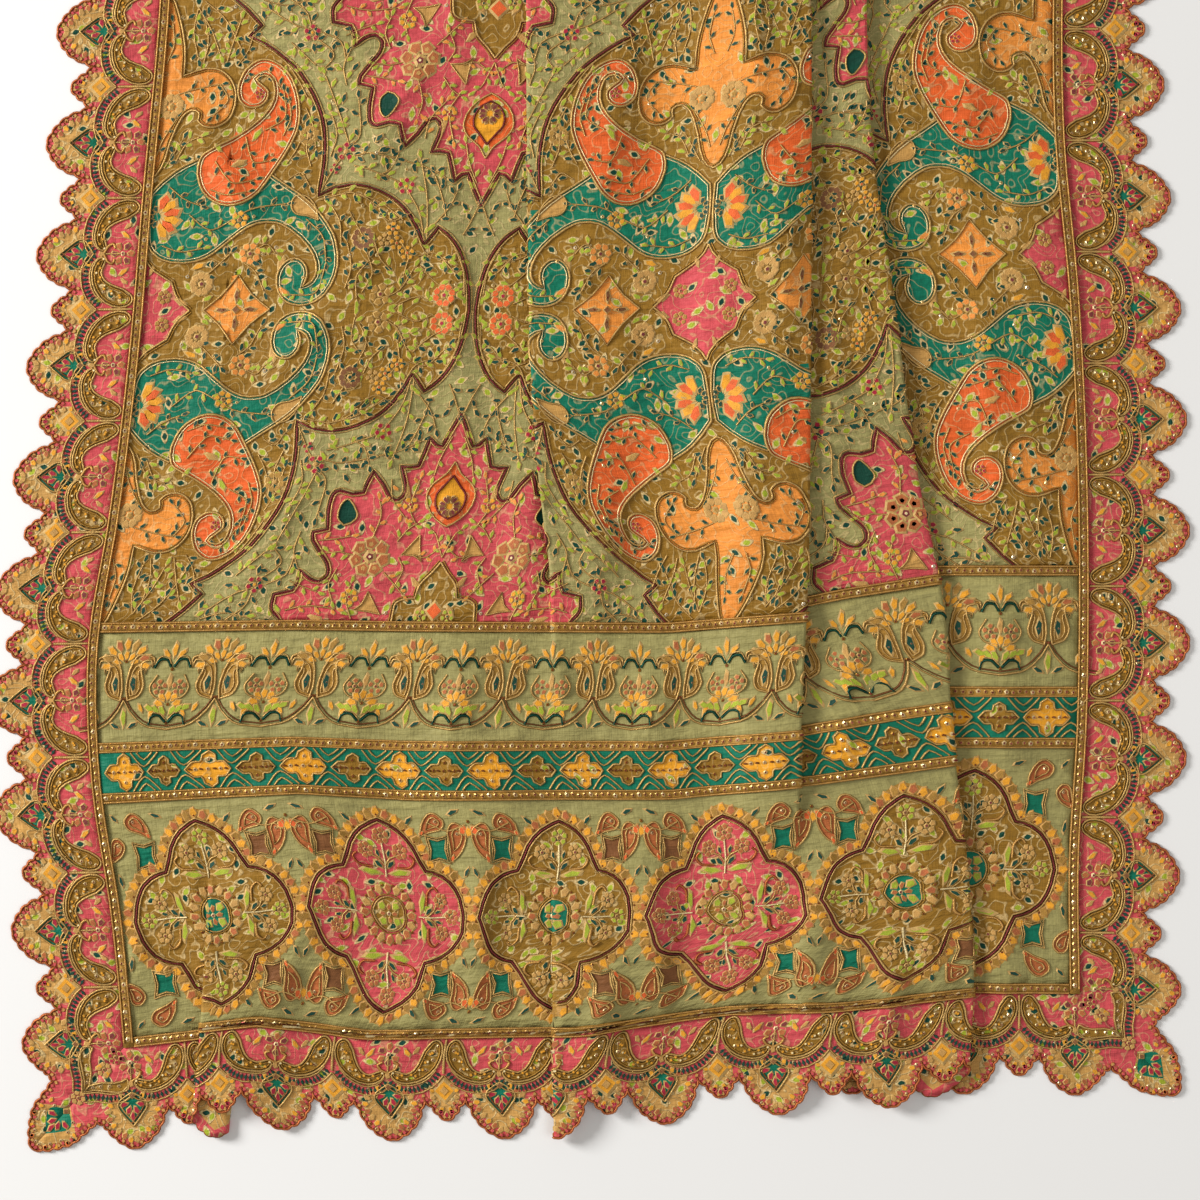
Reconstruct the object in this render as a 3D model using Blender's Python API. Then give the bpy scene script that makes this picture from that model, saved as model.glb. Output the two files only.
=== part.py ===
# Dupatta of printed silk with a scalloped border, laid on a flat surface in a few long tucks.
#
# Every piece is drawn flat, as it is cut: u runs across the cloth and v along it, from the
# inner corner of the near left border. One function then lays the flat cloth on the floor,
# where it rises over its own tucks. Lengths are in metres, +X across, +Y along, +Z up.

import math

import bmesh
import bpy
import numpy as np

# Driving dimensions of the cut cloth
PITCH = 0.072                # one big and one small lobe of the border
PITCHES_ACROSS = 12
PITCHES_ALONG = 30
INNER_WIDTH = PITCH * PITCHES_ACROSS
INNER_LENGTH = PITCH * PITCHES_ALONG
PALLU_LENGTH = 0.262         # end panel, from the hem seam to the field seam
STRIP_LOW = 0.1505           # teal ribbon on the end panel, from the hem seam
STRIP_HIGH = 0.1885
TAPE_WIDTH = 0.0065
BIG_LOBE = 0.068             # depth of the border at its lobes, at the notches between
SMALL_LOBE = 0.056           # them and along the diagonal of a corner
NOTCH = 0.042
CORNER_LOBE = 0.094
BIG_SHOULDER = 0.0165        # where a lobe is widest, from its middle line, and how deep
SHOULDER_DEPTH = 0.0560
SMALL_SHOULDER = 0.0085
SMALL_SHOULDER_DEPTH = 0.0510
NOTCH_PLACE = 0.0225         # from the middle of a big lobe

# Thickness of the layers
WALL = 0.0010
TAPE_THICK = 0.0008
SEAM_GAP = 0.0003

# A tuck turns under round an upper bend and forward again round a lower one
UPPER_BEND = 0.0013
LOWER_BEND = 0.0023
CLEAR = 0.006                # how far past a tuck the layer above stays up
SLOPE_RUN = 0.055            # length over which it comes down

# The laid outline: where the side seams lie at each distance v along the cloth
SEAMS = (
    ("v", "left", "right"),
    (-0.075, -0.3000, 0.3070),
    (0.000, -0.3047, 0.3067),
    (0.080, -0.3125, 0.3060),
    (0.165, -0.3254, 0.3112),
    (0.250, -0.3274, 0.3125),
    (0.335, -0.3138, 0.3112),
    (0.440, -0.3009, 0.3060),
    (0.540, -0.2924, 0.2970),
    (0.670, -0.2808, 0.2960),
    (0.920, -0.2850, 0.3020),
    (1.200, -0.2980, 0.2950),
    (1.500, -0.2900, 0.2890),
    (1.800, -0.2990, 0.3010),
    (1.990, -0.3120, 0.3090),
    (2.160, -0.3060, 0.3040),
    (2.235, -0.3030, 0.3020),
)

# Tucks, from left to right. x is where the folded edge lies, under how deep the tuck is
# and turn how far it is folded, from 0 for flat to 1 for pressed down.
HEM_TUCK = (
    ("v", "x", "under", "turn"),
    (-0.075, -0.2620, 0.019, 1.00),
    (0.000, -0.2560, 0.017, 1.00),
    (0.045, -0.2530, 0.004, 1.00),
    (0.070, -0.2515, 0.000, 0.66),
    (0.095, -0.2505, 0.000, 0.33),
    (0.120, -0.2500, 0.000, 0.00),
    (2.040, -0.2300, 0.000, 0.00),
    (2.065, -0.2310, 0.000, 0.33),
    (2.090, -0.2320, 0.000, 0.66),
    (2.115, -0.2330, 0.004, 1.00),
    (2.160, -0.2360, 0.012, 1.00),
    (2.235, -0.2400, 0.014, 1.00),
)
MIDDLE_TUCK = (
    ("v", "x", "under", "turn"),
    (-0.075, -0.0280, 0.014, 1.00),
    (0.000, -0.0290, 0.012, 1.00),
    (0.045, -0.0290, 0.003, 1.00),
    (0.070, -0.0290, 0.000, 0.66),
    (0.095, -0.0290, 0.000, 0.33),
    (0.120, -0.0290, 0.000, 0.00),
    (0.222, -0.0280, 0.000, 0.00),
    (0.262, -0.0290, 0.000, 0.36),
    (0.300, -0.0310, 0.000, 0.78),
    (0.340, -0.0360, 0.008, 1.00),
    (0.420, -0.0425, 0.024, 1.00),
    (0.540, -0.0450, 0.028, 1.00),
    (0.670, -0.0460, 0.030, 1.00),
    (1.000, -0.0380, 0.026, 1.00),
    (1.400, -0.0500, 0.031, 1.00),
    (1.740, -0.0400, 0.022, 1.00),
    (1.820, -0.0360, 0.008, 1.00),
    (1.860, -0.0360, 0.000, 0.78),
    (1.898, -0.0350, 0.000, 0.36),
    (1.938, -0.0340, 0.000, 0.00),
    (2.040, -0.0330, 0.000, 0.00),
    (2.065, -0.0330, 0.000, 0.33),
    (2.090, -0.0330, 0.000, 0.66),
    (2.115, -0.0330, 0.003, 1.00),
    (2.160, -0.0330, 0.010, 1.00),
    (2.235, -0.0340, 0.012, 1.00),
)
INNER_TUCK = (
    ("v", "x", "under", "turn"),
    (-0.075, 0.1270, 0.000, 0.00),
    (0.095, 0.1260, 0.000, 0.00),
    (0.120, 0.1262, 0.000, 0.30),
    (0.150, 0.1266, 0.000, 0.68),
    (0.189, 0.1275, 0.005, 1.00),
    (0.222, 0.1288, 0.016, 1.00),
    (0.262, 0.1310, 0.022, 1.00),
    (0.420, 0.1335, 0.025, 1.00),
    (0.670, 0.1335, 0.025, 1.00),
    (1.000, 0.1240, 0.022, 1.00),
    (1.400, 0.1340, 0.026, 1.00),
    (1.800, 0.1290, 0.022, 1.00),
    (1.860, 0.1285, 0.016, 1.00),
    (1.898, 0.1280, 0.006, 1.00),
    (1.938, 0.1276, 0.000, 0.74),
    (1.972, 0.1272, 0.000, 0.42),
    (2.010, 0.1268, 0.000, 0.14),
    (2.040, 0.1262, 0.000, 0.00),
    (2.235, 0.1260, 0.000, 0.00),
)
# The outer tuck is as deep as the side seams leave it, so it has no column for that.
OUTER_TUCK = (
    ("v", "x"),
    (-0.075, 0.2340),
    (0.000, 0.2390),
    (0.080, 0.2360),
    (0.165, 0.2260),
    (0.250, 0.2190),
    (0.335, 0.2020),
    (0.440, 0.1880),
    (0.540, 0.1740),
    (0.670, 0.1700),
    (0.920, 0.1820),
    (1.200, 0.1760),
    (1.500, 0.1840),
    (1.800, 0.1960),
    (1.990, 0.2100),
    (2.160, 0.2180),
    (2.235, 0.2200),
)

# Middle of the laid cloth, which is the origin of the finished part
MIDDLE_X = -0.0079
MIDDLE_Y = 1.0990

# How far each lengthwise line of the cloth is drawn along, at the hems and in the field
DRIFT = (
    ("u", "near_hem", "field", "far_hem"),
    (-0.070, -0.002, 0.005, 0.004),
    (0.000, 0.000, 0.006, 0.002),
    (0.130, 0.015, 0.008, -0.006),
    (0.200, 0.005, 0.007, 0.003),
    (0.370, 0.008, 0.006, 0.010),
    (0.470, 0.021, 0.014, 0.006),
    (0.540, 0.024, 0.028, 0.016),
    (0.630, 0.034, 0.042, 0.030),
    (0.750, 0.036, 0.043, 0.036),
    (0.934, 0.034, 0.043, 0.040),
)
DRIFT_REACH = 0.262          # from the hem seam to where the field's drift is reached

# Soft ridges that lie over every layer: centre, length, width, height and lean
RIDGES = (
    ("x", "y", "long", "wide", "high", "lean"),
    (-0.195, 0.110, 0.150, 0.070, 0.0050, 0.10),
    (-0.085, 0.175, 0.170, 0.060, 0.0045, -0.12),
    (0.020, 0.090, 0.140, 0.060, 0.0040, 0.15),
    (-0.170, 0.420, 0.260, 0.090, 0.0040, 0.20),
    (0.070, 0.500, 0.300, 0.080, 0.0040, -0.10),
    (0.270, 0.380, 0.260, 0.060, 0.0040, 0.08),
    (-0.200, 0.820, 0.300, 0.090, 0.0050, -0.15),
    (0.050, 1.050, 0.320, 0.090, 0.0045, 0.18),
    (-0.150, 1.420, 0.340, 0.100, 0.0050, 0.12),
    (0.260, 1.300, 0.300, 0.060, 0.0040, -0.06),
    (0.060, 1.660, 0.280, 0.080, 0.0045, -0.14),
    (-0.180, 1.900, 0.220, 0.080, 0.0045, 0.10),
    (0.040, 2.080, 0.150, 0.060, 0.0040, -0.12),
)

# Colours, read by eye as linear values
COLOURS = {
    "field": (0.33, 0.31, 0.15),
    "pallu": (0.36, 0.34, 0.17),
    "strip": (0.01, 0.20, 0.12),
    "border": (0.58, 0.10, 0.14),
    "tape": (0.58, 0.36, 0.12),
}
SILK_ROUGHNESS = 0.6
TAPE_ROUGHNESS = 0.4


def along(table, column, v):
    """Smooth curve through the named column of a table, read at the distances v."""
    rows = np.array(table[1:])
    place = rows[:, 0]
    value = rows[:, table[0].index(column)]
    slope = np.gradient(value, place)
    v = np.clip(v, place[0], place[-1])
    i = np.clip(np.searchsorted(place, v) - 1, 0, len(place) - 2)
    span = place[i + 1] - place[i]
    t = (v - place[i]) / span
    start = (1 + 2 * t) * (1 - t) ** 2 * value[i] + t * (1 - t) ** 2 * span * slope[i]
    end = t * t * (3 - 2 * t) * value[i + 1] - t * t * (1 - t) * span * slope[i + 1]
    return start + end


def step(t):
    t = np.clip(t, 0.0, 1.0)
    return t * t * (3 - 2 * t)


def tuck_loss(under, turn):
    """Width that a tuck takes out of the cloth."""
    angle = math.pi * turn
    return (UPPER_BEND + LOWER_BEND) * (angle - np.sin(angle)) + under * (1 - np.cos(angle))


def tucks_at(v):
    """The four tucks at the distances v: edge, depth, turn, and the u where each begins."""
    left = along(SEAMS, "left", v)
    right = along(SEAMS, "right", v)
    found = []
    hidden = INNER_WIDTH - (right - left)
    for table in (HEM_TUCK, MIDDLE_TUCK, INNER_TUCK):
        tuck = {
            "edge": along(table, "x", v),
            "under": np.maximum(along(table, "under", v), 0.0),
            "turn": np.clip(along(table, "turn", v), 0.0, 1.0),
            "leftward": table is not INNER_TUCK,
        }
        found.append(tuck)
        hidden = hidden - tuck_loss(tuck["under"], tuck["turn"])
    full = np.ones_like(hidden)
    depth = (hidden - tuck_loss(np.zeros_like(hidden), full)) / 2
    found.append({
        "edge": along(OUTER_TUCK, "x", v),
        "under": depth,
        "turn": full,
        "leftward": False,
    })
    x = left
    u = np.zeros_like(left)
    for tuck in found:
        angle = math.pi * tuck["turn"]
        tuck["angle"] = angle
        tuck["width"] = (UPPER_BEND + LOWER_BEND) * angle + tuck["under"]
        tuck["gain"] = tuck["width"] - tuck_loss(tuck["under"], tuck["turn"])
        tuck["height"] = ((UPPER_BEND + LOWER_BEND) * (1 - np.cos(angle))
                          + tuck["under"] * np.sin(angle))
        tuck["x"] = tuck["edge"] - tuck["gain"] if tuck["leftward"] else tuck["edge"]
        tuck["u"] = u + tuck["x"] - x
        x = tuck["x"] + tuck["gain"]
        u = tuck["u"] + tuck["width"]
    return left, found


def tuck_profile(s, tuck):
    """Place and heading at the length s into a tuck, starting on its upper layer."""
    angle = tuck["angle"]
    first = UPPER_BEND * angle
    a = np.clip(s, 0, first) / UPPER_BEND
    run = np.clip(s - first, 0, tuck["under"])
    b = np.clip(s - first - tuck["under"], 0, LOWER_BEND * angle) / LOWER_BEND
    x = UPPER_BEND * np.sin(a) + run * np.cos(angle)
    x = x + LOWER_BEND * (np.sin(angle) - np.sin(angle - b))
    z = -UPPER_BEND * (1 - np.cos(a)) - run * np.sin(angle)
    z = z - LOWER_BEND * (np.cos(angle - b) - np.cos(angle))
    return x, z, b - a


def drift(u, v):
    place, near, field, far = np.array(DRIFT[1:]).T
    near, field, far = (np.interp(u, place, amount) for amount in (near, field, far))
    to_near = step(1 - v / DRIFT_REACH)
    to_far = step(1 - (INNER_LENGTH - v) / DRIFT_REACH)
    return field + (near - field) * to_near + (far - field) * to_far


def ridges(x, y):
    height = np.zeros_like(x)
    for cx, cy, long, wide, high, lean in RIDGES[1:]:
        across = (x - cx - lean * (y - cy)) / wide
        down = (y - cy) / long
        height = height + high * step(1 - np.hypot(across, down))
    return height


def lay(u, v, h):
    """Lays the flat point (u, v), h above the middle of the wall, on the floor."""
    left, tucks = tucks_at(v)
    x = left + u
    z = np.zeros_like(x)
    heading = np.zeros_like(x)
    for tuck in tucks:
        s = u - tuck["u"]
        inside = (s > 0) & (s < tuck["width"])
        past = s >= tuck["width"]
        if tuck["leftward"]:
            px, pz, turned = tuck_profile(tuck["width"] - s, tuck)
            px = tuck["gain"] - px
            turned = -turned
        else:
            px, pz, turned = tuck_profile(s, tuck)
        x = np.where(inside, tuck["x"] + px, x)
        x = np.where(past, tuck["x"] + tuck["gain"] + s - tuck["width"], x)
        tuck["inside"] = inside
        tuck["upper"] = past if tuck["leftward"] else s <= 0
        tuck["lift"] = tuck["height"] + pz
        heading = np.where(inside, turned, heading)
    for tuck in tucks:
        if tuck["leftward"]:
            reach = x - tuck["edge"]
        else:
            reach = tuck["edge"] - x
        up = tuck["height"] * step(1 - (reach - tuck["under"] - CLEAR) / SLOPE_RUN)
        z = z + np.where(tuck["inside"], tuck["lift"], 0) + np.where(tuck["upper"], up, 0)
    y = v + drift(u, v)
    z = z + ridges(x, y) + WALL / 2
    x = x - h * np.sin(heading) - MIDDLE_X
    return np.stack((x, y - MIDDLE_Y, z + h * np.cos(heading)), axis=-1)


# Lines across the cloth: the same for every piece, so that pieces stay parallel
BEND_CUTS = 3
LEAST_TURN = 0.4             # a tuck that is fading keeps lines as far apart as this
LEAST_UNDER = 0.002
FLAT_CUTS = (1, 5, 5, 3, 4)


def fold_lines(v):
    """u of every line that runs along the cloth, at one distance v."""
    left, tucks = tucks_at(np.array([v]))
    lines = [-0.080, -TAPE_WIDTH / 2, 0.0, TAPE_WIDTH / 2]
    for tuck, cuts in zip(tucks, FLAT_CUTS):
        angle = math.pi * max(tuck["turn"][0], LEAST_TURN)
        bends = [UPPER_BEND * angle, LOWER_BEND * angle]
        if tuck["leftward"]:
            bends.reverse()
        under = max(tuck["under"][0], LEAST_UNDER)
        middle = tuck["u"][0] + tuck["width"][0] / 2
        start = middle - (sum(bends) + under) / 2
        before = lines[-1]
        lines += [before + (start - before) * (i + 1) / cuts for i in range(cuts)]
        lines += [start + bends[0] * (i + 1) / BEND_CUTS for i in range(BEND_CUTS)]
        start += bends[0] + under
        lines += [start + bends[1] * i / BEND_CUTS for i in range(BEND_CUTS + 1)]
    before = lines[-1]
    end = INNER_WIDTH - TAPE_WIDTH / 2
    lines += [before + (end - before) * (i + 1) / FLAT_CUTS[-1] for i in range(FLAT_CUTS[-1])]
    lines += [INNER_WIDTH, INNER_WIDTH + TAPE_WIDTH / 2, INNER_WIDTH + 0.080]
    return np.array(lines)


def cross_rows():
    """v of every line that runs across the cloth."""
    half = TAPE_WIDTH / 2
    end = [-0.035, -half, half, 0.045, 0.070, 0.095, 0.120, STRIP_LOW, STRIP_HIGH, 0.222]
    end += [PALLU_LENGTH - half, PALLU_LENGTH + half, 0.300, 0.340]
    first = end[-1]
    last = INNER_LENGTH - first
    count = 9
    middle = [first + (last - first) * (i + 1) / count for i in range(count - 1)]
    return end + middle + [INNER_LENGTH - v for v in reversed(end)]


ROWS = cross_rows()
LEAN = 0.5                   # shear that decides which way a face is split


def flat_to_lines(u, v):
    """Number of the line, whole or in between, on which the flat point lies."""
    lines = fold_lines(v)
    return float(np.interp(u, lines, np.arange(len(lines))))


def lines_to_flat(number, v):
    """The reverse of it: u of the line with this number."""
    lines = fold_lines(v)
    return float(np.interp(number, np.arange(len(lines)), lines))


def cut_piece(name, outline, height, thickness, material, collection):
    """A flat plate of the outline, cut along the lines and then laid on the floor."""
    bm = bmesh.new()
    base = height - thickness / 2
    corners = [bm.verts.new((flat_to_lines(u, v), v, base)) for u, v in outline]
    bm.faces.new(corners)
    count = len(fold_lines(0.0))
    cuts = [((line, 0, 0), (1, 0, 0)) for line in range(count)]
    cuts += [((0, row, 0), (0, 1, 0)) for row in ROWS]
    for point, normal in cuts:
        everything = bm.verts[:] + bm.edges[:] + bm.faces[:]
        bmesh.ops.bisect_plane(bm, geom=everything, dist=1e-6, plane_co=point, plane_no=normal)
    split_faces(bm)
    raised = bmesh.ops.extrude_face_region(bm, geom=bm.faces[:], use_keep_orig=True)
    upper = [part for part in raised["geom"] if isinstance(part, bmesh.types.BMVert)]
    bmesh.ops.translate(bm, verts=upper, vec=(0, 0, thickness))
    for vert in bm.verts:
        u = lines_to_flat(vert.co.x, vert.co.y)
        vert.co = lay(np.array([u]), np.array([vert.co.y]), vert.co.z)[0]
    bmesh.ops.triangulate(bm, faces=bm.faces[:])
    bmesh.ops.recalc_face_normals(bm, faces=bm.faces[:])
    mesh = bpy.data.meshes.new(name)
    bm.to_mesh(mesh)
    bm.free()
    piece = bpy.data.objects.new(name, mesh)
    collection.objects.link(piece)
    mesh.materials.append(material)
    mesh.shade_smooth()
    mesh.set_sharp_from_angle(angle=math.radians(40))
    return piece


def lean_at(v):
    return -LEAN * abs(v - INNER_LENGTH / 2)


def split_faces(bm):
    """Triangles whose diagonals all lean the same way, so that stacked pieces stay parallel."""
    for vert in bm.verts:
        vert.co.x += lean_at(vert.co.y)
    plain = [f for f in bm.faces if len(f.verts) == 4 and all(l.is_convex for l in f.loops)]
    bmesh.ops.triangulate(bm, faces=plain, quad_method="SHORT_EDGE")
    for vert in bm.verts:
        vert.co.x = lines_to_flat(vert.co.x - lean_at(vert.co.y), vert.co.y)
    rest = [f for f in bm.faces if len(f.verts) > 3]
    bmesh.ops.triangulate(bm, faces=rest, ngon_method="BEAUTY")
    for vert in bm.verts:
        vert.co.x = flat_to_lines(vert.co.x, vert.co.y)


def rectangle(u0, u1, v0, v1):
    return [(u0, v0), (u1, v0), (u1, v1), (u0, v1)]


def lobe_edge(pitches):
    """The scalloped edge from one corner to the next, as (distance along, depth)."""
    edge = []
    for i in range(pitches + 1):
        big = i * PITCH
        small = big + PITCH / 2
        edge.append((big - BIG_SHOULDER, SHOULDER_DEPTH))
        edge.append((big, BIG_LOBE))
        edge.append((big + BIG_SHOULDER, SHOULDER_DEPTH))
        if i < pitches:
            edge.append((big + NOTCH_PLACE, NOTCH))
            edge.append((small - SMALL_SHOULDER, SMALL_SHOULDER_DEPTH))
            edge.append((small, SMALL_LOBE))
            edge.append((small + SMALL_SHOULDER, SMALL_SHOULDER_DEPTH))
            edge.append((big + PITCH - NOTCH_PLACE, NOTCH))
    return edge


def corner_half():
    """Outer edge of half a corner lobe, from the diagonal to the nearest big lobe."""
    tip = CORNER_LOBE / math.sqrt(2)
    return (-tip, tip), (-0.0400, 0.0635), (-0.0235, 0.0500)


def border_outline(pitches, across):
    """One mitred border strip: seam along zero, the lobes at positive depth."""
    length = pitches * PITCH
    gap = SEAM_GAP / 2
    mitre = SEAM_GAP
    half = TAPE_WIDTH / 2
    tip, shoulder, valley = corner_half()
    knee = (-half, half + mitre) if across else (-half + mitre, half)
    start = [(mitre - gap, gap), knee, (tip[0] + mitre, tip[1]), shoulder, valley]
    end = [(length - a, d) for a, d in reversed(start)]
    return start + lobe_edge(pitches) + end


def silk(name, colour, roughness, metallic=0.0):
    material = bpy.data.materials.new(name)
    material.use_nodes = True
    shader = material.node_tree.nodes["Principled BSDF"]
    shader.inputs["Base Color"].default_value = (*colour, 1.0)
    shader.inputs["Roughness"].default_value = roughness
    shader.inputs["Metallic"].default_value = metallic
    return material


def build_field(collection):
    gap = SEAM_GAP / 2
    outline = rectangle(gap, INNER_WIDTH - gap, PALLU_LENGTH + gap, INNER_LENGTH - PALLU_LENGTH - gap)
    material = silk("field_silk", COLOURS["field"], SILK_ROUGHNESS)
    cut_piece("field", outline, 0.0, WALL, material, collection)


def build_end(end, collection):
    """End panel, strip, hem tape and cross tape of one end."""
    gap = SEAM_GAP / 2
    half = TAPE_WIDTH / 2
    above = (WALL + TAPE_THICK) / 2 + SEAM_GAP

    def band(name, low, high, inset, height, thickness, material):
        if end == "far":
            low, high = INNER_LENGTH - high, INNER_LENGTH - low
        outline = rectangle(inset, INNER_WIDTH - inset, low, high)
        cut_piece(f"{name}_{end}", outline, height, thickness, material, collection)

    pallu = silk(f"pallu_silk_{end}", COLOURS["pallu"], SILK_ROUGHNESS)
    strip = silk(f"strip_silk_{end}", COLOURS["strip"], SILK_ROUGHNESS)
    hem = silk(f"tape_hem_{end}", COLOURS["tape"], TAPE_ROUGHNESS, 0.5)
    cross = silk(f"tape_cross_{end}", COLOURS["tape"], TAPE_ROUGHNESS, 0.5)
    inside = half + SEAM_GAP
    band("pallu", gap, PALLU_LENGTH - gap, gap, 0.0, WALL, pallu)
    band("strip", STRIP_LOW, STRIP_HIGH, inside, above, TAPE_THICK, strip)
    band("tape_hem", -half, half, inside, above, TAPE_THICK, hem)
    band("tape_cross", PALLU_LENGTH - half, PALLU_LENGTH + half, inside, above, TAPE_THICK, cross)


def build_border(side, collection):
    material = silk(f"border_silk_{side}", COLOURS["border"], SILK_ROUGHNESS)
    across = side in ("near", "far")
    strip = border_outline(PITCHES_ACROSS if across else PITCHES_ALONG, across)
    place = {
        "left": lambda a, d: (-d, a),
        "right": lambda a, d: (INNER_WIDTH + d, a),
        "near": lambda a, d: (a, -d),
        "far": lambda a, d: (a, INNER_LENGTH + d),
    }[side]
    outline = [place(a, d) for a, d in strip]
    if side in ("left", "far"):
        outline.reverse()
    cut_piece(f"border_{side}", outline, 0.0, WALL, material, collection)


def build_side_tape(side, collection):
    half = TAPE_WIDTH / 2
    middle = 0.0 if side == "left" else INNER_WIDTH
    above = (WALL + TAPE_THICK) / 2 + SEAM_GAP
    material = silk(f"side_tape_{side}", COLOURS["tape"], TAPE_ROUGHNESS, 0.5)
    outline = rectangle(middle - half, middle + half, -half, INNER_LENGTH + half)
    cut_piece(f"tape_{side}", outline, above, TAPE_THICK, material, collection)


def main():
    for thing in list(bpy.data.objects):
        bpy.data.objects.remove(thing)
    collection = bpy.data.collections.new("dupatta")
    bpy.context.scene.collection.children.link(collection)
    build_field(collection)
    for end in ("near", "far"):
        build_end(end, collection)
        build_border(end, collection)
    for side in ("left", "right"):
        build_border(side, collection)
        build_side_tape(side, collection)


main()
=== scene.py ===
# %% [markdown]
# # A printed and embroidered silk dupatta
# The real cloth is sewn from flat pieces: a long field, two end panels, ribbons, gold tapes and
# a scalloped border. All of it is printed, and the print is then outlined with cord, leaves,
# beads and sequins. It lies on a bed or floor in four long tucks.
#
# So the lesson works in two steps. Every pattern is drawn flat, in millimetres on the cut cloth,
# where u runs across it and v along it. One function then lays flat points on the floor. The
# ground, the cords and the sequins all pass through it, and they stay on one another in every
# fold. It starts by loading the solids that this dressing stands for.

# %% Load the frame
import math

import bmesh
import bpy
import numpy as np
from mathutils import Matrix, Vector
from mathutils.geometry import delaunay_2d_cdt


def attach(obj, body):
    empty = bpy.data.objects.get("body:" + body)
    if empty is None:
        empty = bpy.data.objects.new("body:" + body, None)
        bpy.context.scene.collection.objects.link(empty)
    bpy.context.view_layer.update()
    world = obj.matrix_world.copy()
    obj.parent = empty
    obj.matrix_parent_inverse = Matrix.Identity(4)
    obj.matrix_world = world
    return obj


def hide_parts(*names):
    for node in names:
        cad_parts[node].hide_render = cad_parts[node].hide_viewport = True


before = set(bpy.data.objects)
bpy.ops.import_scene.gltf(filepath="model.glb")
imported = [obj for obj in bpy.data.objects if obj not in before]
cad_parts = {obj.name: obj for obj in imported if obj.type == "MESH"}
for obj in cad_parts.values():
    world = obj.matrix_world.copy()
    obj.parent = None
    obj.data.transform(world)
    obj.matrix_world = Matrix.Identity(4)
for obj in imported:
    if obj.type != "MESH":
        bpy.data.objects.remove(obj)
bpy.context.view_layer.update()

# %% [markdown]
# ## The cut and the laid shape
# The numbers of the cut are those of the solids: 12 border repeats of 72 mm across, 30 along.
# The tables say where the seams and the folded edges lie for each distance along the cloth. A
# tuck turns under round a small bend and forward again round a larger one. Cloth simulation
# could make folds like these, but it would never put them where the photograph has them.

# %% Sizes of the cut cloth
PITCH = 0.072
PITCHES_ACROSS = 12
PITCHES_ALONG = 30
INNER_WIDTH = PITCH * PITCHES_ACROSS
INNER_LENGTH = PITCH * PITCHES_ALONG
PALLU_LENGTH = 0.262
STRIP_LOW = 0.1505
STRIP_HIGH = 0.1885
TAPE_WIDTH = 0.0065
WALL = 0.0010
TAPE_THICK = 0.0008
SEAM_GAP = 0.0003
UPPER_BEND = 0.0013
LOWER_BEND = 0.0023
CLEAR = 0.006
SLOPE_RUN = 0.055
MIDDLE_X = -0.0079
MIDDLE_Y = 1.0990
DRIFT_REACH = 0.262

# %% Where the seams and the tucks lie
SEAMS = (
    ("v", "left", "right"),
    (-0.075, -0.3, 0.307), (0.0, -0.3047, 0.3067),
    (0.08, -0.3125, 0.306), (0.165, -0.3254, 0.3112),
    (0.25, -0.3274, 0.3125), (0.335, -0.3138, 0.3112),
    (0.44, -0.3009, 0.306), (0.54, -0.2924, 0.297),
    (0.67, -0.2808, 0.296), (0.92, -0.285, 0.302),
    (1.2, -0.298, 0.295), (1.5, -0.29, 0.289),
    (1.8, -0.299, 0.301), (1.99, -0.312, 0.309),
    (2.16, -0.306, 0.304), (2.235, -0.303, 0.302),
)

# Tucks, from left to right. x is where the folded edge lies, under how deep the tuck is
# and turn how far it is folded, from 0 for flat to 1 for pressed down.
HEM_TUCK = (
    ("v", "x", "under", "turn"),
    (-0.075, -0.262, 0.019, 1.0), (0.0, -0.256, 0.017, 1.0),
    (0.045, -0.253, 0.004, 1.0), (0.07, -0.2515, 0.0, 0.66),
    (0.095, -0.2505, 0.0, 0.33), (0.12, -0.25, 0.0, 0.0),
    (2.04, -0.23, 0.0, 0.0), (2.065, -0.231, 0.0, 0.33),
    (2.09, -0.232, 0.0, 0.66), (2.115, -0.233, 0.004, 1.0),
    (2.16, -0.236, 0.012, 1.0), (2.235, -0.24, 0.014, 1.0),
)
MIDDLE_TUCK = (
    ("v", "x", "under", "turn"),
    (-0.075, -0.028, 0.014, 1.0), (0.0, -0.029, 0.012, 1.0),
    (0.045, -0.029, 0.003, 1.0), (0.07, -0.029, 0.0, 0.66),
    (0.095, -0.029, 0.0, 0.33), (0.12, -0.029, 0.0, 0.0),
    (0.222, -0.028, 0.0, 0.0), (0.262, -0.029, 0.0, 0.36),
    (0.3, -0.031, 0.0, 0.78), (0.34, -0.036, 0.008, 1.0),
    (0.42, -0.0425, 0.024, 1.0), (0.54, -0.045, 0.028, 1.0),
    (0.67, -0.046, 0.03, 1.0), (1.0, -0.038, 0.026, 1.0),
    (1.4, -0.05, 0.031, 1.0), (1.74, -0.04, 0.022, 1.0),
    (1.82, -0.036, 0.008, 1.0), (1.86, -0.036, 0.0, 0.78),
    (1.898, -0.035, 0.0, 0.36), (1.938, -0.034, 0.0, 0.0),
    (2.04, -0.033, 0.0, 0.0), (2.065, -0.033, 0.0, 0.33),
    (2.09, -0.033, 0.0, 0.66), (2.115, -0.033, 0.003, 1.0),
    (2.16, -0.033, 0.01, 1.0), (2.235, -0.034, 0.012, 1.0),
)
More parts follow.
